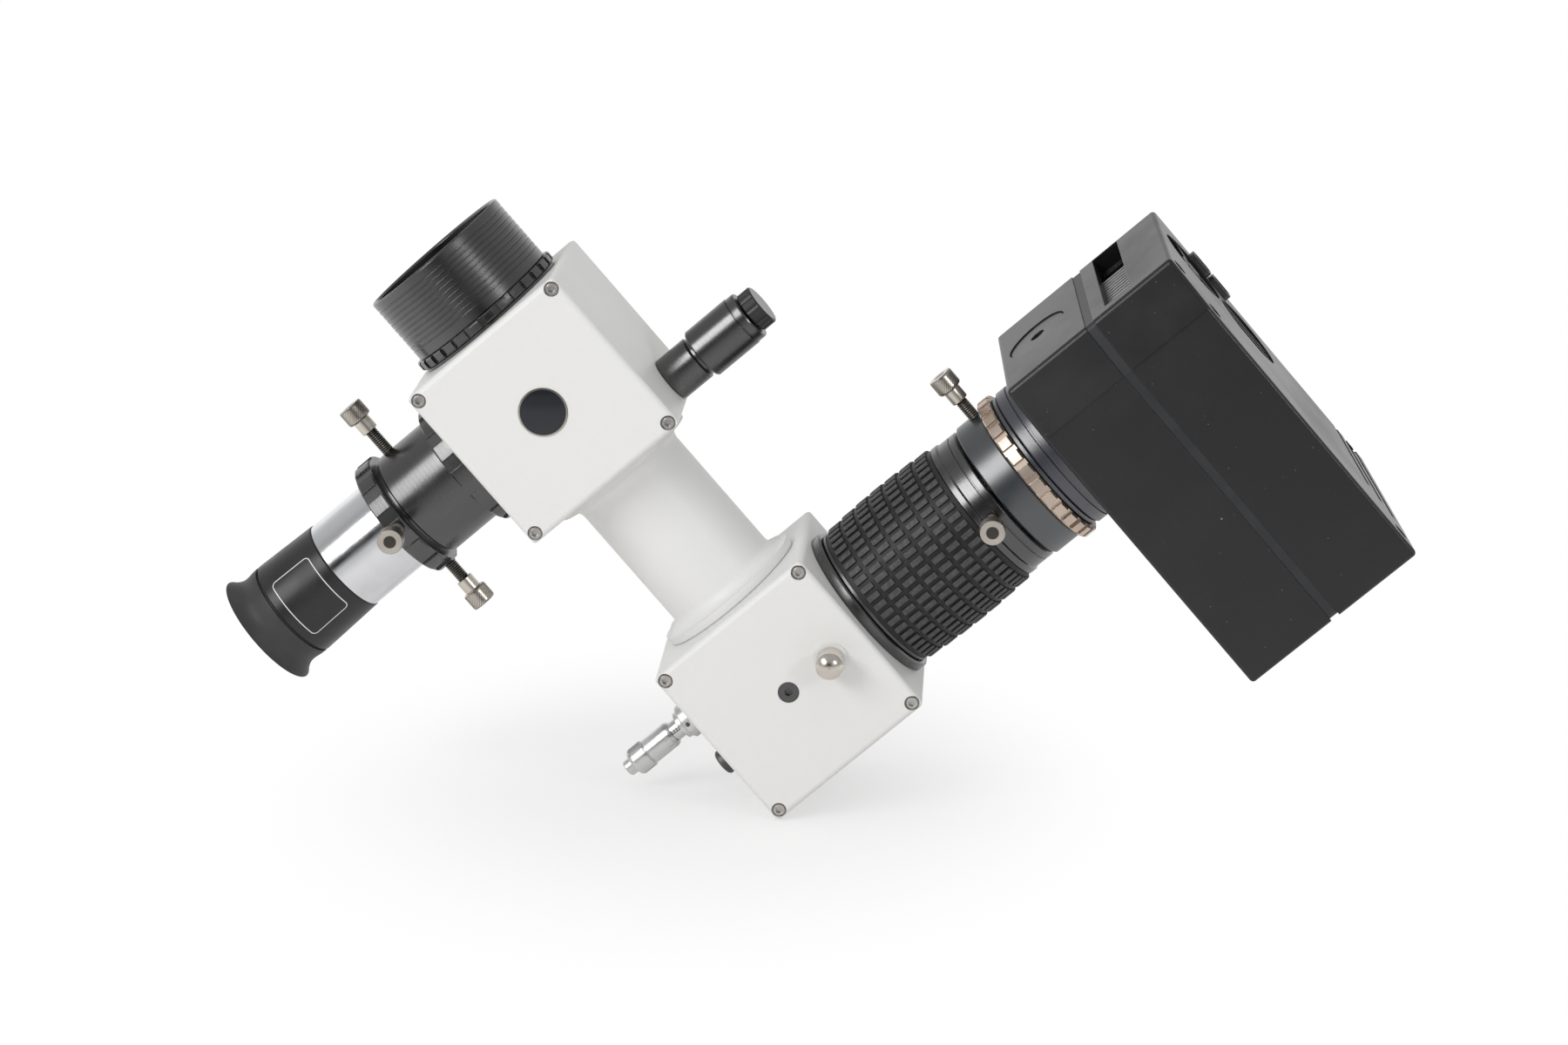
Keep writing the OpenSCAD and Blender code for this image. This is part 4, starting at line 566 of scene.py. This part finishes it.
def copy_of(piece):
    """A copy with its own mesh"""
    twin = piece.copy()
    twin.data = piece.data.copy()
    bpy.context.collection.objects.link(twin)
    return twin


def join(pieces):
    """Joins pieces into the first"""
    deselect()
    for p in pieces:
        p.select_set(True)
    bpy.context.view_layer.objects.active = pieces[0]
    bpy.ops.object.join()
    return pieces[0]


def block(low, high, place=(0, 0, 0), lean=0.0):
    """A block between two corners, in millimetres, in a frame at this place that leans about X"""
    deselect()
    low, high = Vector(low) * MM, Vector(high) * MM
    bpy.ops.mesh.primitive_cube_add(size=1.0, location=(low + high) / 2)
    piece = bpy.context.object
    piece.scale = high - low
    bpy.ops.object.transform_apply(location=True, rotation=True, scale=True)
    piece.rotation_euler = (lean, 0, 0)
    piece.location = place
    bpy.ops.object.transform_apply(location=True, rotation=True, scale=True)
    return piece


def drill(radius, start, end, y=0.0, z=0.0, place=None, direction=(1, 0, 0)):
    """A round cutter, in millimetres: along X at a place of the camera's back, or along another direction"""
    deselect()
    bpy.ops.mesh.primitive_cylinder_add(vertices=64, radius=radius * MM, depth=(end - start) * MM,
                                        location=(0, 0, (start + end) / 2 * MM))
    piece = bpy.context.object
    bpy.ops.object.transform_apply(location=True, rotation=True, scale=True)
    piece.rotation_euler = Vector(direction).to_track_quat("Z", "Y").to_euler()
    piece.location = place or Vector((0, y, GRATING_Z + z)) * MM
    bpy.ops.object.transform_apply(location=True, rotation=True, scale=True)
    return piece


def bevel_edges(piece, test, offset, segments):
    """Rounds the edges whose two ends pass the test"""
    bpy.ops.object.mode_set(mode="OBJECT")
    points = [v.co for v in piece.data.vertices]
    for seq in (piece.data.vertices, piece.data.polygons):
        seq.foreach_set("select", [False] * len(seq))
    for e in piece.data.edges:
        e.select = test(*(points[i] for i in e.vertices))
    bpy.ops.object.mode_set(mode="EDIT")
    bpy.ops.mesh.select_mode(type="EDGE")
    bpy.ops.mesh.bevel(offset=offset, segments=segments, profile=0.5, affect="EDGES", clamp_overlap=False)
    bpy.ops.object.mode_set(mode="OBJECT")


# The camera's body: its near and far side, and its corners' heights over the light path, in millimetres
NEAR_Y = -35.0
FAR_Y = 36.4
TOP_H = 34.1
SLANT_H = 10.7
BOTTOM_H = -89.6

# Leans of its top, its bottom and its slanted side, each from a rise and a run
TOP_ANGLE = math.atan2(4.8, 66.5)
BOTTOM_ANGLE = math.atan2(17.4, 71.4)
SLANT_ANGLE = math.atan2(4.9, 18.6)


def housing(start, end, shrink, rounded=None, radius=0.0):
    """A five-cornered length of the camera's body, cut from a block; rounded around one of its ends"""
    piece = block((start, shrink + NEAR_Y, GRATING_Z - 95), (end, FAR_Y - shrink, GRATING_Z + 40))
    bpy.ops.object.mode_set(mode="EDIT")
    for (y, z), (ny, nz) in (((FAR_Y, TOP_H), (-math.sin(TOP_ANGLE), math.cos(TOP_ANGLE))),
                             ((NEAR_Y, SLANT_H), (-math.cos(SLANT_ANGLE), math.sin(SLANT_ANGLE))),
                             ((NEAR_Y, BOTTOM_H), (math.sin(BOTTOM_ANGLE), -math.cos(BOTTOM_ANGLE)))):
        at = Vector((start, y - shrink * ny, GRATING_Z + z - shrink * nz)) * MM
        bpy.ops.mesh.select_all(action="SELECT")
        bpy.ops.mesh.bisect(plane_co=at, plane_no=(0, ny, nz), use_fill=True, clear_outer=True)
    bpy.ops.object.mode_set(mode="OBJECT")
    if rounded is None:
        return piece

    def ridge(a, b):
        return abs(a.x - b.x) > 1 * MM and abs(a.y - b.y) + abs(a.z - b.z) < 1e-6

    def shallow(a, b):
        return (ridge(a, b) and abs(a.y - NEAR_Y * MM) < 0.1 * MM
                and abs(a.z - (GRATING_Z + SLANT_H) * MM) < 0.2 * MM)

    def outer(a, b):
        return ridge(a, b) and (not a.y < (NEAR_Y + 0.5) * MM or a.z < -0.2)

    def end_rim(a, b):
        return abs(a.x - rounded * MM) + abs(b.x - rounded * MM) < 1e-6

    bevel_edges(piece, shallow, 0.45 * MM, 3)
    bevel_edges(piece, lambda a, b: outer(a, b) or end_rim(a, b), radius, 4)
    return piece


def cut(piece, cutters):
    """Takes cutters out of a piece"""
    for cutter in cutters:
        deselect()
        piece.select_set(True)
        bpy.context.view_layer.objects.active = piece
        bpy.ops.object.modifier_add(type="BOOLEAN")
        modifier = piece.modifiers[-1]
        modifier.operation = "DIFFERENCE"
        modifier.object = cutter
        bpy.ops.object.modifier_apply(modifier=modifier.name)
        bpy.data.objects.remove(cutter)


# Each thumbscrew's axis, its direction, its tip and its seat's face along it, and the gap under its head
THUMBSCREWS = {
    "holder_screw": ((-53.5, 0, SLIT_Z), (0, 0, 1), 16.23, 18.75, 8.6),
    "clamp_screw_front": ((-62.65, 0, SLIT_Z), (0, -1, 0), 16.23, 21.0, 6.6),
    "clamp_screw_bottom": ((-62.65, 0, SLIT_Z), (0, 0, -1), 16.23, 21.0, 6.6),
    "focus_lock_screw": ((82.5, 0, GRATING_Z), (0, -1, 0), 17.85, 24.5, 6.6),
    "camera_clamp_screw": ((95.6, 0, GRATING_Z), (0, 0, 1), 21.35, 25.0, 6.6),
}


class SPECTRO_OT_thumbscrews(bpy.types.Operator):
    """Model the five nickel thumbscrews with their thread and knurled head"""
    bl_idname = "spectro.thumbscrews"
    bl_label = "Thumbscrews"

    def execute(self, context):
        s = context.scene.spectro_screw
        thread_r, collar_r, head_r, rows = 2.0 * MM, 2.8 * MM, 4.08 * MM, 12
        nickel = thumbscrew_finish()
        for node, (place, direction, tip, face, gap) in THUMBSCREWS.items():
            neck = (face + gap) * MM
            profile = [(1.75 * MM, tip * MM)]
            z = tip * MM + s.thread_pitch / 4
            while z < neck - s.thread_pitch / 2:
                profile += [(thread_r, z), (thread_r - s.thread_depth, z + s.thread_pitch / 2)]
                z += s.thread_pitch
            collar, top = neck + 4.6 * MM, neck + 10.2 * MM
            profile += [(1.9 * MM, neck), (2.6 * MM, neck), (collar_r, neck + 0.2 * MM),
                        (collar_r, collar - 0.15 * MM), (2.65 * MM, collar), (3.55 * MM, collar)]
            drum, low = head_r - s.knurl_height, collar + 0.30 * MM
            pitch = 5.2 * MM / rows
            profile += [(drum, low + i * pitch) for i in range(rows + 1)]
            profile += [(3.76 * MM, top), (1.2 * MM, top + 0.04 * MM), (0.3 * MM, top + 0.02 * MM)]
            piece = turned(profile, 2 * s.knurls)
            knurl(piece, drum, low, pitch, rows, 2 * s.knurls, s.knurl_height)
            put(piece, node + "_fine", [v * MM for v in place], direction, 32, node, [node], nickel)
        return {"FINISHED"}


class SPECTRO_OT_rubber_grip(bpy.types.Operator):
    """Model the rubber grip: a swelling sleeve with rows of rounded lugs"""
    bl_idname = "spectro.rubber_grip"
    bl_label = "Rubber grip"

    def execute(self, context):
        s = context.scene.spectro_grip
        start, end, inner, crest, swell = 34.7 * MM, 77.6 * MM, 23.22 * MM, 25.6 * MM, 0.9 * MM
        sink, lug_t = 0.80 * MM, 1.5 * MM
        rubber = rubber_finish("grip_rubber_finish", (start, end, crest, swell))
        length = end - start
        pitch = (length - 2 * s.margin) / s.rows

        def top(t):
            return crest + swell * math.sin(math.pi * t)

        base = [(top(i / 16) - sink, start + length * i / 16) for i in range(17)]
        sleeve = turned([(inner, start)] + base + [(inner, end), (inner, start)], 96, hollow=True)
        deselect()
        width = 2 * math.pi * 25.8 * MM / s.around - s.gap
        bpy.ops.mesh.primitive_cube_add(size=1.0)
        lug = bpy.context.object
        lug.scale = (lug_t, width, pitch - s.gap)
        bpy.ops.object.transform_apply(location=True, rotation=True, scale=True)
        bpy.ops.object.mode_set(mode="EDIT")
        bpy.ops.mesh.select_all(action="SELECT")
        bpy.ops.mesh.bevel(offset=s.bevel, segments=2, profile=0.5, affect="EDGES")
        bpy.ops.object.mode_set(mode="OBJECT")
        lugs = [sleeve]
        for row in range(s.rows):
            z = start + s.margin + pitch * (row + 0.5)
            for i in range(s.around):
                a = 2 * math.pi * (i + 0.5) / s.around
                twin = copy_of(lug)
                r = top((row + 0.5) / s.rows) - lug_t / 2
                twin.location = (r * math.cos(a), r * math.sin(a), z)
                twin.rotation_euler = (0, 0, a)
                lugs.append(twin)
        bpy.data.objects.remove(lug)
        grip = join(lugs)
        put(grip, "grip_rubber_fine", (0, 0, GRATING_Z * MM), (1, 0, 0), 40, "focus_grip", ["grip_rubber"],
            rubber)
        return {"FINISHED"}


class SPECTRO_OT_eyecup(bpy.types.Operator):
    """Model the soft flared eyecup"""
    bl_idname = "spectro.eyecup"
    bl_label = "Eyecup"

    def execute(self, context):
        start = 111.2
        flare = [(5.6 + 5.5 * t, 16.6 + 2.7 * t * t) for t in [i / 8 for i in range(9)]]
        outer = [(14.52, 0.0), (16.1, 0.0), (16.15, 0.45), (16.9, 0.55), (17.0, 0.9), (16.9, 2.6), (16.65, 4.4)]
        outer += [(r, z) for z, r in flare[:-1]] + [(19.15, 10.9), (19.3, 11.05), (19.1, 11.12), (18.75, 11.05)]
        outer += [(r - 1.0 - 0.8 * (1 - i / 8), z) for i, (z, r) in list(enumerate(flare))[7::-1]]
        outer += [(14.52, 5.6), (14.52, 0.0)]
        cup = turned([(r * MM, z * MM) for r, z in outer], 96, hollow=True)
        put(cup, "eyecup_fine", (-start * MM, 0, SLIT_Z * MM), (-1, 0, 0), 50, "eyepiece", ["eyecup"],
            rubber_finish("eyecup_rubber"))
        return {"FINISHED"}


class SPECTRO_OT_micrometer(bpy.types.Operator):
    """Model the micrometer thimble with its knurled end, and finish its scales"""
    bl_idname = "spectro.micrometer"
    bl_label = "Micrometer"

    def execute(self, context):
        tone = (0.74, 0.75, 0.74)
        edge, drum, knurl_from, row, rows, around = 44.6, 4.55, 10.4, 0.45, 12, 60
        bore, seat, inner_end = 2.05, 3.36, 15.2
        profile = [(3.42, 0.0), (3.9, 0.0), (4.35, 1.3), (4.35, 9.7), (4.15, 9.95), (4.15, 10.15),
                   (drum, knurl_from)]
        profile += [(drum, knurl_from + row * (i + 1)) for i in range(rows)]
        profile += [(4.1, 16.3), (2.5, 16.4), (2.75, 16.7), (2.75, 18.9), (2.4, 19.3), (0.3, 19.3)]
        solid = [(r * MM, z * MM) for r, z in profile]
        inner = [(0.3 * MM, inner_end * MM), (bore * MM, inner_end * MM), (bore * MM, 10.5 * MM),
                 (seat * MM, 10.5 * MM), (seat * MM, 0.0), (3.42 * MM, 0.0)]
        thimble = turned(solid + inner, around, hollow=True)
        knurl(thimble, drum * MM, knurl_from * MM, row * MM, rows, around, 0.22 * MM)
        put(thimble, "thimble_fine", (-edge * MM, 0, DRIVE_Z * MM), (-1, 0, 0), 30, "thimble",
            ["micrometer_thimble"],
            scale_finish("thimble_scale", DRIVE_Z * MM, -edge * MM, 50, 1.5 * MM, tone, dividing=True))
        finish("micrometer_sleeve", scale_finish("sleeve_scale", DRIVE_Z * MM, -41.4 * MM, 0, 1.0 * MM, tone))
        finish("micrometer_bushing", metal_finish("bushing_finish", tone, 0.3))
        finish("micrometer_spindle", metal_finish("spindle_finish", (0.6, 0.61, 0.62), 0.2))
        return {"FINISHED"}


class SPECTRO_OT_boxes(bpy.types.Operator):
    """Finish the coated boxes, their covers and the tube"""
    bl_idname = "spectro.boxes"
    bl_label = "Boxes and tube"

    def execute(self, context):
        coat = coat_finish()
        for node in ("slit_box", "slit_box_cover", "main_tube", "grating_box", "grating_box_cover"):
            finish(node, coat)
        finish("cover_screws", metal_finish("screw_steel_finish", (0.60, 0.58, 0.55), 0.28))
        finish("badge", badge_finish())
        finish("pivot_insert", black_finish("pivot_insert_finish", (0.012, 0.012, 0.013), 0.3, dust=0.1))
        nickel = metal_finish("lock_knob_finish", tuple(context.scene.spectro_finish.nickel), 0.17)
        finish("grating_lock_knob", nickel)
        finish("spring_plug", black_finish("spring_plug_finish", (0.014, 0.014, 0.015), 0.42))
        return {"FINISHED"}


class SPECTRO_OT_black_parts(bpy.types.Operator):
    """Finish the anodised rings, barrels, collars and the lamp"""
    bl_idname = "spectro.black_parts"
    bl_label = "Anodised parts"

    def execute(self, context):
        # Painted shade darkens the nosepiece's grooves, inside this radius
        finish("nosepiece", black_finish("nosepiece_finish", turned=2, groove_shade_radius=25.2 * MM))
        along_z = black_finish("ring_finish", turned=2)
        for node in ("lock_ring", "collimator_ring"):
            finish(node, along_z)
        along_x = black_finish("barrel_finish", turned=0)
        for node in ("holder_ring", "eyepiece_holder", "clamp_ring", "lamp_socket", "lamp_body", "focuser_base",
                     "front_collar", "drawtube", "slit_carrier", "grating_carrier"):
            finish(node, along_x)
        finish("lamp_knob", knob_finish())
        finish("eyepiece_body", label_finish())
        finish("focus_grip", black_finish("grip_metal_finish", (0.06, 0.06, 0.062), 0.22, metal=0.6))
        finish("camera_collar", black_finish("collar_finish", (0.015, 0.021, 0.026), 0.28, turned=0))
        finish("adapter_ring", black_finish("adapter_finish", (0.012, 0.014, 0.030), 0.28, turned=0))
        finish("changer_ring", metal_finish("bronze_finish", tuple(context.scene.spectro_finish.bronze), 0.30))
        finish("eyepiece_barrel", metal_finish("chrome_finish", (0.80, 0.81, 0.83), 0.07, brushed=0))
        return {"FINISHED"}


class SPECTRO_OT_camera_body(bpy.types.Operator):
    """Model the camera's two five-cornered shells with rounded ends, and finish what they hold"""
    bl_idname = "spectro.camera_body"
    bl_label = "Camera body"

    def execute(self, context):
        s = context.scene.spectro_camera
        shell = camera_finish()
        start, split, rear, end, wall = 112.3, 143.5, 146.7, 177.0, 3.0
        port_y, port_z, bar_x, bar_w, bar_pitch = 14.0, 15.5, (174.5, 176.5), 1.2, 6.5
        shroud_r, shroud_in_r, shroud_l = 13.2 * MM, 12.0 * MM, 12.0 * MM
        lean = (0, -math.sin(TOP_ANGLE), math.cos(TOP_ANGLE))

        front = housing(start, split, 0.0, start, s.rounding)
        boss = Vector((126.8, 4.5, GRATING_Z + TOP_H - 31.9 * math.tan(TOP_ANGLE))) * MM
        cut(front, [housing(start + wall, split + 1, wall), drill(18.0, start - 1, start + wall + 1, 0.0, 0.0),
                    drill(10.85, -4.0, 1.5, place=boss, direction=lean)])
        put(front, "camera_front_fine", None, None, 30, "camera", ["camera_front"], shell)

        back = housing(rear, end, 0.0, end, s.rounding)
        top = Vector((151.8, 0.0, GRATING_Z + TOP_H - FAR_Y * math.tan(TOP_ANGLE))) * MM
        foot = Vector((173.0, FAR_Y, GRATING_Z - 72.2)) * MM
        holes = [housing(rear - 1, end - wall, wall),
                 block((0, -24.7, -6), (10, 35.3, 3), top, TOP_ANGLE)]
        holes += [drill(13.0, end - wall - 1, end + 1, port_y, z) for z in (port_z, port_z - 27.0)]
        holes += [block((0, -54 + 5 * i, 4 + 4.6 * i), (6, 6 + 5 * i, 6 + 4.6 * i), foot, BOTTOM_ANGLE)
                  for i in range(3)]
        holes += [drill(2.8, end - 1.6, end + 1, y, z) for y, z in ((-25, 24.5), (-29, 8), (-29, -82), (31, -65))]
        cut(back, holes)
        shroud = turned([(shroud_r, 0), (shroud_r, shroud_l), (shroud_in_r, shroud_l), (shroud_in_r, 0),
                         (shroud_r, 0)], 64, hollow=True)
        shroud.rotation_euler = (0, math.pi / 2, 0)
        shroud.location = Vector((163.5, port_y, GRATING_Z + port_z)) * MM
        bpy.ops.object.transform_apply(location=True, rotation=True, scale=True)
        fan = Vector((bar_x[0], port_y, GRATING_Z + port_z)) * MM
        inner = [shroud]
        inner += [block((0, -0.8, -13.2), (2, 0.8, -3.0), fan, turn * 2 * math.pi / 3) for turn in range(3)]
        inner += [drill(4.5, *bar_x, port_y, port_z)]
        inner += [block((bar_x[0], port_y - bar_w / 2 + i * bar_pitch, GRATING_Z - 24.8),
                        (bar_x[1], port_y + bar_w / 2 + i * bar_pitch, GRATING_Z + 1.8)) for i in (-1, 0, 1)]
        put(join([back] + inner), "camera_rear_fine", None, None, 30, "camera", ["camera_rear"],
            shell)
        finish("heat_sink", fin_finish())
        finish("desiccant_plug", camera_finish("plug_coat", (0.024, 0.024, 0.026)))
        finish("sensor_board", board_finish())
        moulded = black_finish("moulded_finish", (0.013, 0.013, 0.014), 0.45, dust=0.15)
        for node in ("fan_rotor", "shutter_blade", "rear_connectors"):
            finish(node, moulded)
        return {"FINISHED"}


class SPECTRO_OT_optics(bpy.types.Operator):
    """Finish the lenses, the slit, the grating, the lamp's diode and its cell"""
    bl_idname = "spectro.optics"
    bl_label = "Optics"

    def execute(self, context):
        glass = glass_finish()
        for node in ("guide_lens", "eyepiece_lenses", "collimator_lens", "objective_lens"):
            finish(node, glass)
        finish("slit_plate", metal_finish("slit_mirror", (0.88, 0.89, 0.90), 0.03))
        g = Graph("grating_rulings")
        x, _, z = g.xyz()
        ruled = ((x - z) * 9000.0).math("SINE")
        colour = g.mix(g.noise(30, 2), (0.55, 0.62, 0.85), (0.70, 0.60, 0.80))
        finish("grating", g.shade(colour, 0.12 + g.noise(200, 2) * 0.04, 0.9, bump=ruled, height=0.000004))
        steel = metal_finish("inner_steel", (0.58, 0.58, 0.59), 0.3)
        for node in ("lamp_battery", "spring_plunger", "return_spring"):
            finish(node, steel)
        g = Graph("diode_resin")
        colour = g.mix(g.noise(300, 2), (0.85, 0.62, 0.35), (0.90, 0.72, 0.48))
        finish("lamp_led", g.shade(colour, 0.15 + g.noise(500, 2) * 0.05))
        return {"FINISHED"}


class SPECTRO_OT_stage(bpy.types.Operator):
    """Set the floor, the soft lights, the room and the photograph's camera"""
    bl_idname = "spectro.stage"
    bl_label = "Stage"

    def execute(self, context):
        scene = context.scene
        s = scene.spectro_stage
        right, up, back = (Vector(v) for v in (CAMERA_RIGHT, CAMERA_UP, CAMERA_BACK))
        centre = Vector(MIDDLE)
        normal = Vector(FLOOR_NORMAL).normalized()
        near = (back - normal * back.dot(normal)).normalized()
        deselect()
        bpy.ops.mesh.primitive_plane_add(size=FLOOR_SIZE)
        floor = context.object
        floor.matrix_world = Matrix([[*axes, place] for axes, place in
                                     zip(zip(near.cross(normal), near, normal), FLOOR_POINT)] + [[0, 0, 0, 1]])
        floor.name = "floor"
        g = Graph("floor_finish")
        path = [g.node("ShaderNodeLightPath", out=k) for k in ("Is Camera Ray", "Is Glossy Ray",
                                                               "Is Transmission Ray")]
        x, y, z = g.xyz()
        radius = ((x - 0.03) * (x - 0.03) + y * y * 0.6) ** 0.5
        shown = path[0] * (0.54 + radius.step(0.03, 0.15) * 0.46) + (path[1] + path[2]) * radius.step(0.03, 0.4)
        paper = g.mix(g.noise(30, 2), (0.90, 0.885, 0.885), (0.915, 0.90, 0.90))
        matt = g.node("ShaderNodeBsdfDiffuse", values={"Color": paper})
        dim = path[1] * (y.step(0.05, 0.30) * 0.35 + y.step(0.5, 1.2) * 0.35)
        glow = g.node("ShaderNodeEmission", values={"Color": g.mix(dim, (1, 1, 1), (0, 0, 0)), "Strength": 1.0})
        lit = g.node("ShaderNodeMixShader", values={0: shown.clip(), 1: matt, 2: glow})
        clear = g.node("ShaderNodeBsdfTransparent")
        behind = g.node("ShaderNodeNewGeometry", out="Backfacing")
        both = g.node("ShaderNodeMixShader", values={0: behind, 1: lit, 2: clear})
        g.tree.links.new(both.socket, g.output.inputs["Surface"])
        floor.data.materials.append(g.material)

        def lamp(name, power, size, away, side):
            """A soft light that stands in one direction, its width along another"""
            away = Vector(away).normalized()
            height = away.cross(side).normalized()
            bpy.ops.object.light_add(type="AREA")
            light = context.object
            light.name = name
            light.data.shape = "RECTANGLE"
            light.data.size, light.data.size_y = size
            light.data.energy = power
            light.matrix_world = Matrix([[*axes, place] for axes, place in zip(
                zip(height.cross(away), height, away), centre + away * LIGHT_AWAY)] + [[0, 0, 0, 1]])

        lamp("left_light", s.left, *LEFT_LIGHT, (1, 0, 0))
        lamp("right_light", s.right, *RIGHT_LIGHT, (1, 1, 0))

        world = bpy.data.worlds.new("room")
        world.use_nodes = True
        scene.world = world
        g = Graph("room", "ShaderNodeOutputWorld", world.node_tree)
        path = [g.node("ShaderNodeLightPath", out=k) for k in ("Is Camera Ray", "Is Glossy Ray",
                                                               "Is Transmission Ray")]
        seen = (path[0] + path[1] + path[2]).clip()
        aim = g.node("ShaderNodeTexCoord", out="Generated")
        front, over, photographer = (
            g.node("ShaderNodeVectorMath", {"operation": "DOT_PRODUCT"}, {0: aim, 1: direction}, out="Value")
            for direction in (CAMERA_BACK, CAMERA_UP, PHOTOGRAPHER))
        strength = 1.0 - front.step(-0.35, 0.35) * (1.0 - s.front)
        strength = strength - over.step(0.40, 0.65) * (strength - s.ceiling)
        strength = strength * (1.0 - photographer.step(0.86, 0.95) * 0.95)
        strength = strength.math("MAXIMUM", path[0])
        lean = 1.0 + g.node("ShaderNodeVectorMath", {"operation": "DOT_PRODUCT"}, {0: aim, 1: (0.25, 0.0, 0.37)},
                            out="Value")
        white = g.node("ShaderNodeBackground", values={"Color": (1, 1, 1), "Strength": strength})
        even = g.node("ShaderNodeBackground", values={"Color": (1, 1, 1), "Strength": (lean * s.room).clip()})
        sky = g.node("ShaderNodeMixShader", values={0: seen, 1: even, 2: white})
        g.tree.links.new(sky.socket, g.output.inputs["Surface"])

        data = bpy.data.cameras.new("photo_camera")
        data.lens = CAMERA_LENS
        data.sensor_width = 36.0
        data.clip_end = 50.0
        camera = bpy.data.objects.new("photo_camera", data)
        scene.collection.objects.link(camera)
        camera.matrix_world = Matrix([[*axes, place] for axes, place in
                                      zip(zip(right, up, back), CAMERA_PLACE)] + [[0, 0, 0, 1]])
        scene.camera = camera
        scene.view_settings.view_transform = "Standard"
        return {"FINISHED"}


GROUPS = {"spectro_finish": FinishSettings, "spectro_screw": ScrewSettings, "spectro_grip": GripSettings,
          "spectro_camera": CameraSettings, "spectro_stage": StageSettings}
OPERATORS = (SPECTRO_OT_boxes, SPECTRO_OT_black_parts, SPECTRO_OT_camera_body, SPECTRO_OT_optics,
             SPECTRO_OT_thumbscrews, SPECTRO_OT_rubber_grip, SPECTRO_OT_eyecup, SPECTRO_OT_micrometer,
             SPECTRO_OT_stage)


class SPECTRO_PT_pieces(bpy.types.Panel):
    """Pieces of the spectrograph"""
    bl_idname = "SPECTRO_PT_pieces"
    bl_label = "Spectrograph"
    bl_space_type = "VIEW_3D"
    bl_region_type = "UI"
    bl_category = "Spectrograph"

    def draw(self, context):
        for name in GROUPS:
            group = getattr(context.scene, name)
            for key in group.bl_rna.properties.keys():
                if key not in ("rna_type", "name"):
                    self.layout.prop(group, key)
        for operator in OPERATORS:
            self.layout.operator(operator.bl_idname)


def register():
    for cls in (*GROUPS.values(), *OPERATORS, SPECTRO_PT_pieces):
        bpy.utils.register_class(cls)
    for name, cls in GROUPS.items():
        setattr(bpy.types.Scene, name, PointerProperty(type=cls))


def unregister():
    for name in GROUPS:
        delattr(bpy.types.Scene, name)
    for cls in (SPECTRO_PT_pieces, *OPERATORS[::-1], *list(GROUPS.values())[::-1]):
        bpy.utils.unregister_class(cls)


def main():
    """Registers the add-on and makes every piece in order"""
    register()
    for operator in OPERATORS:
        group, name = operator.bl_idname.split(".")
        getattr(getattr(bpy.ops, group), name)()


if __name__ == "__main__":
    main()
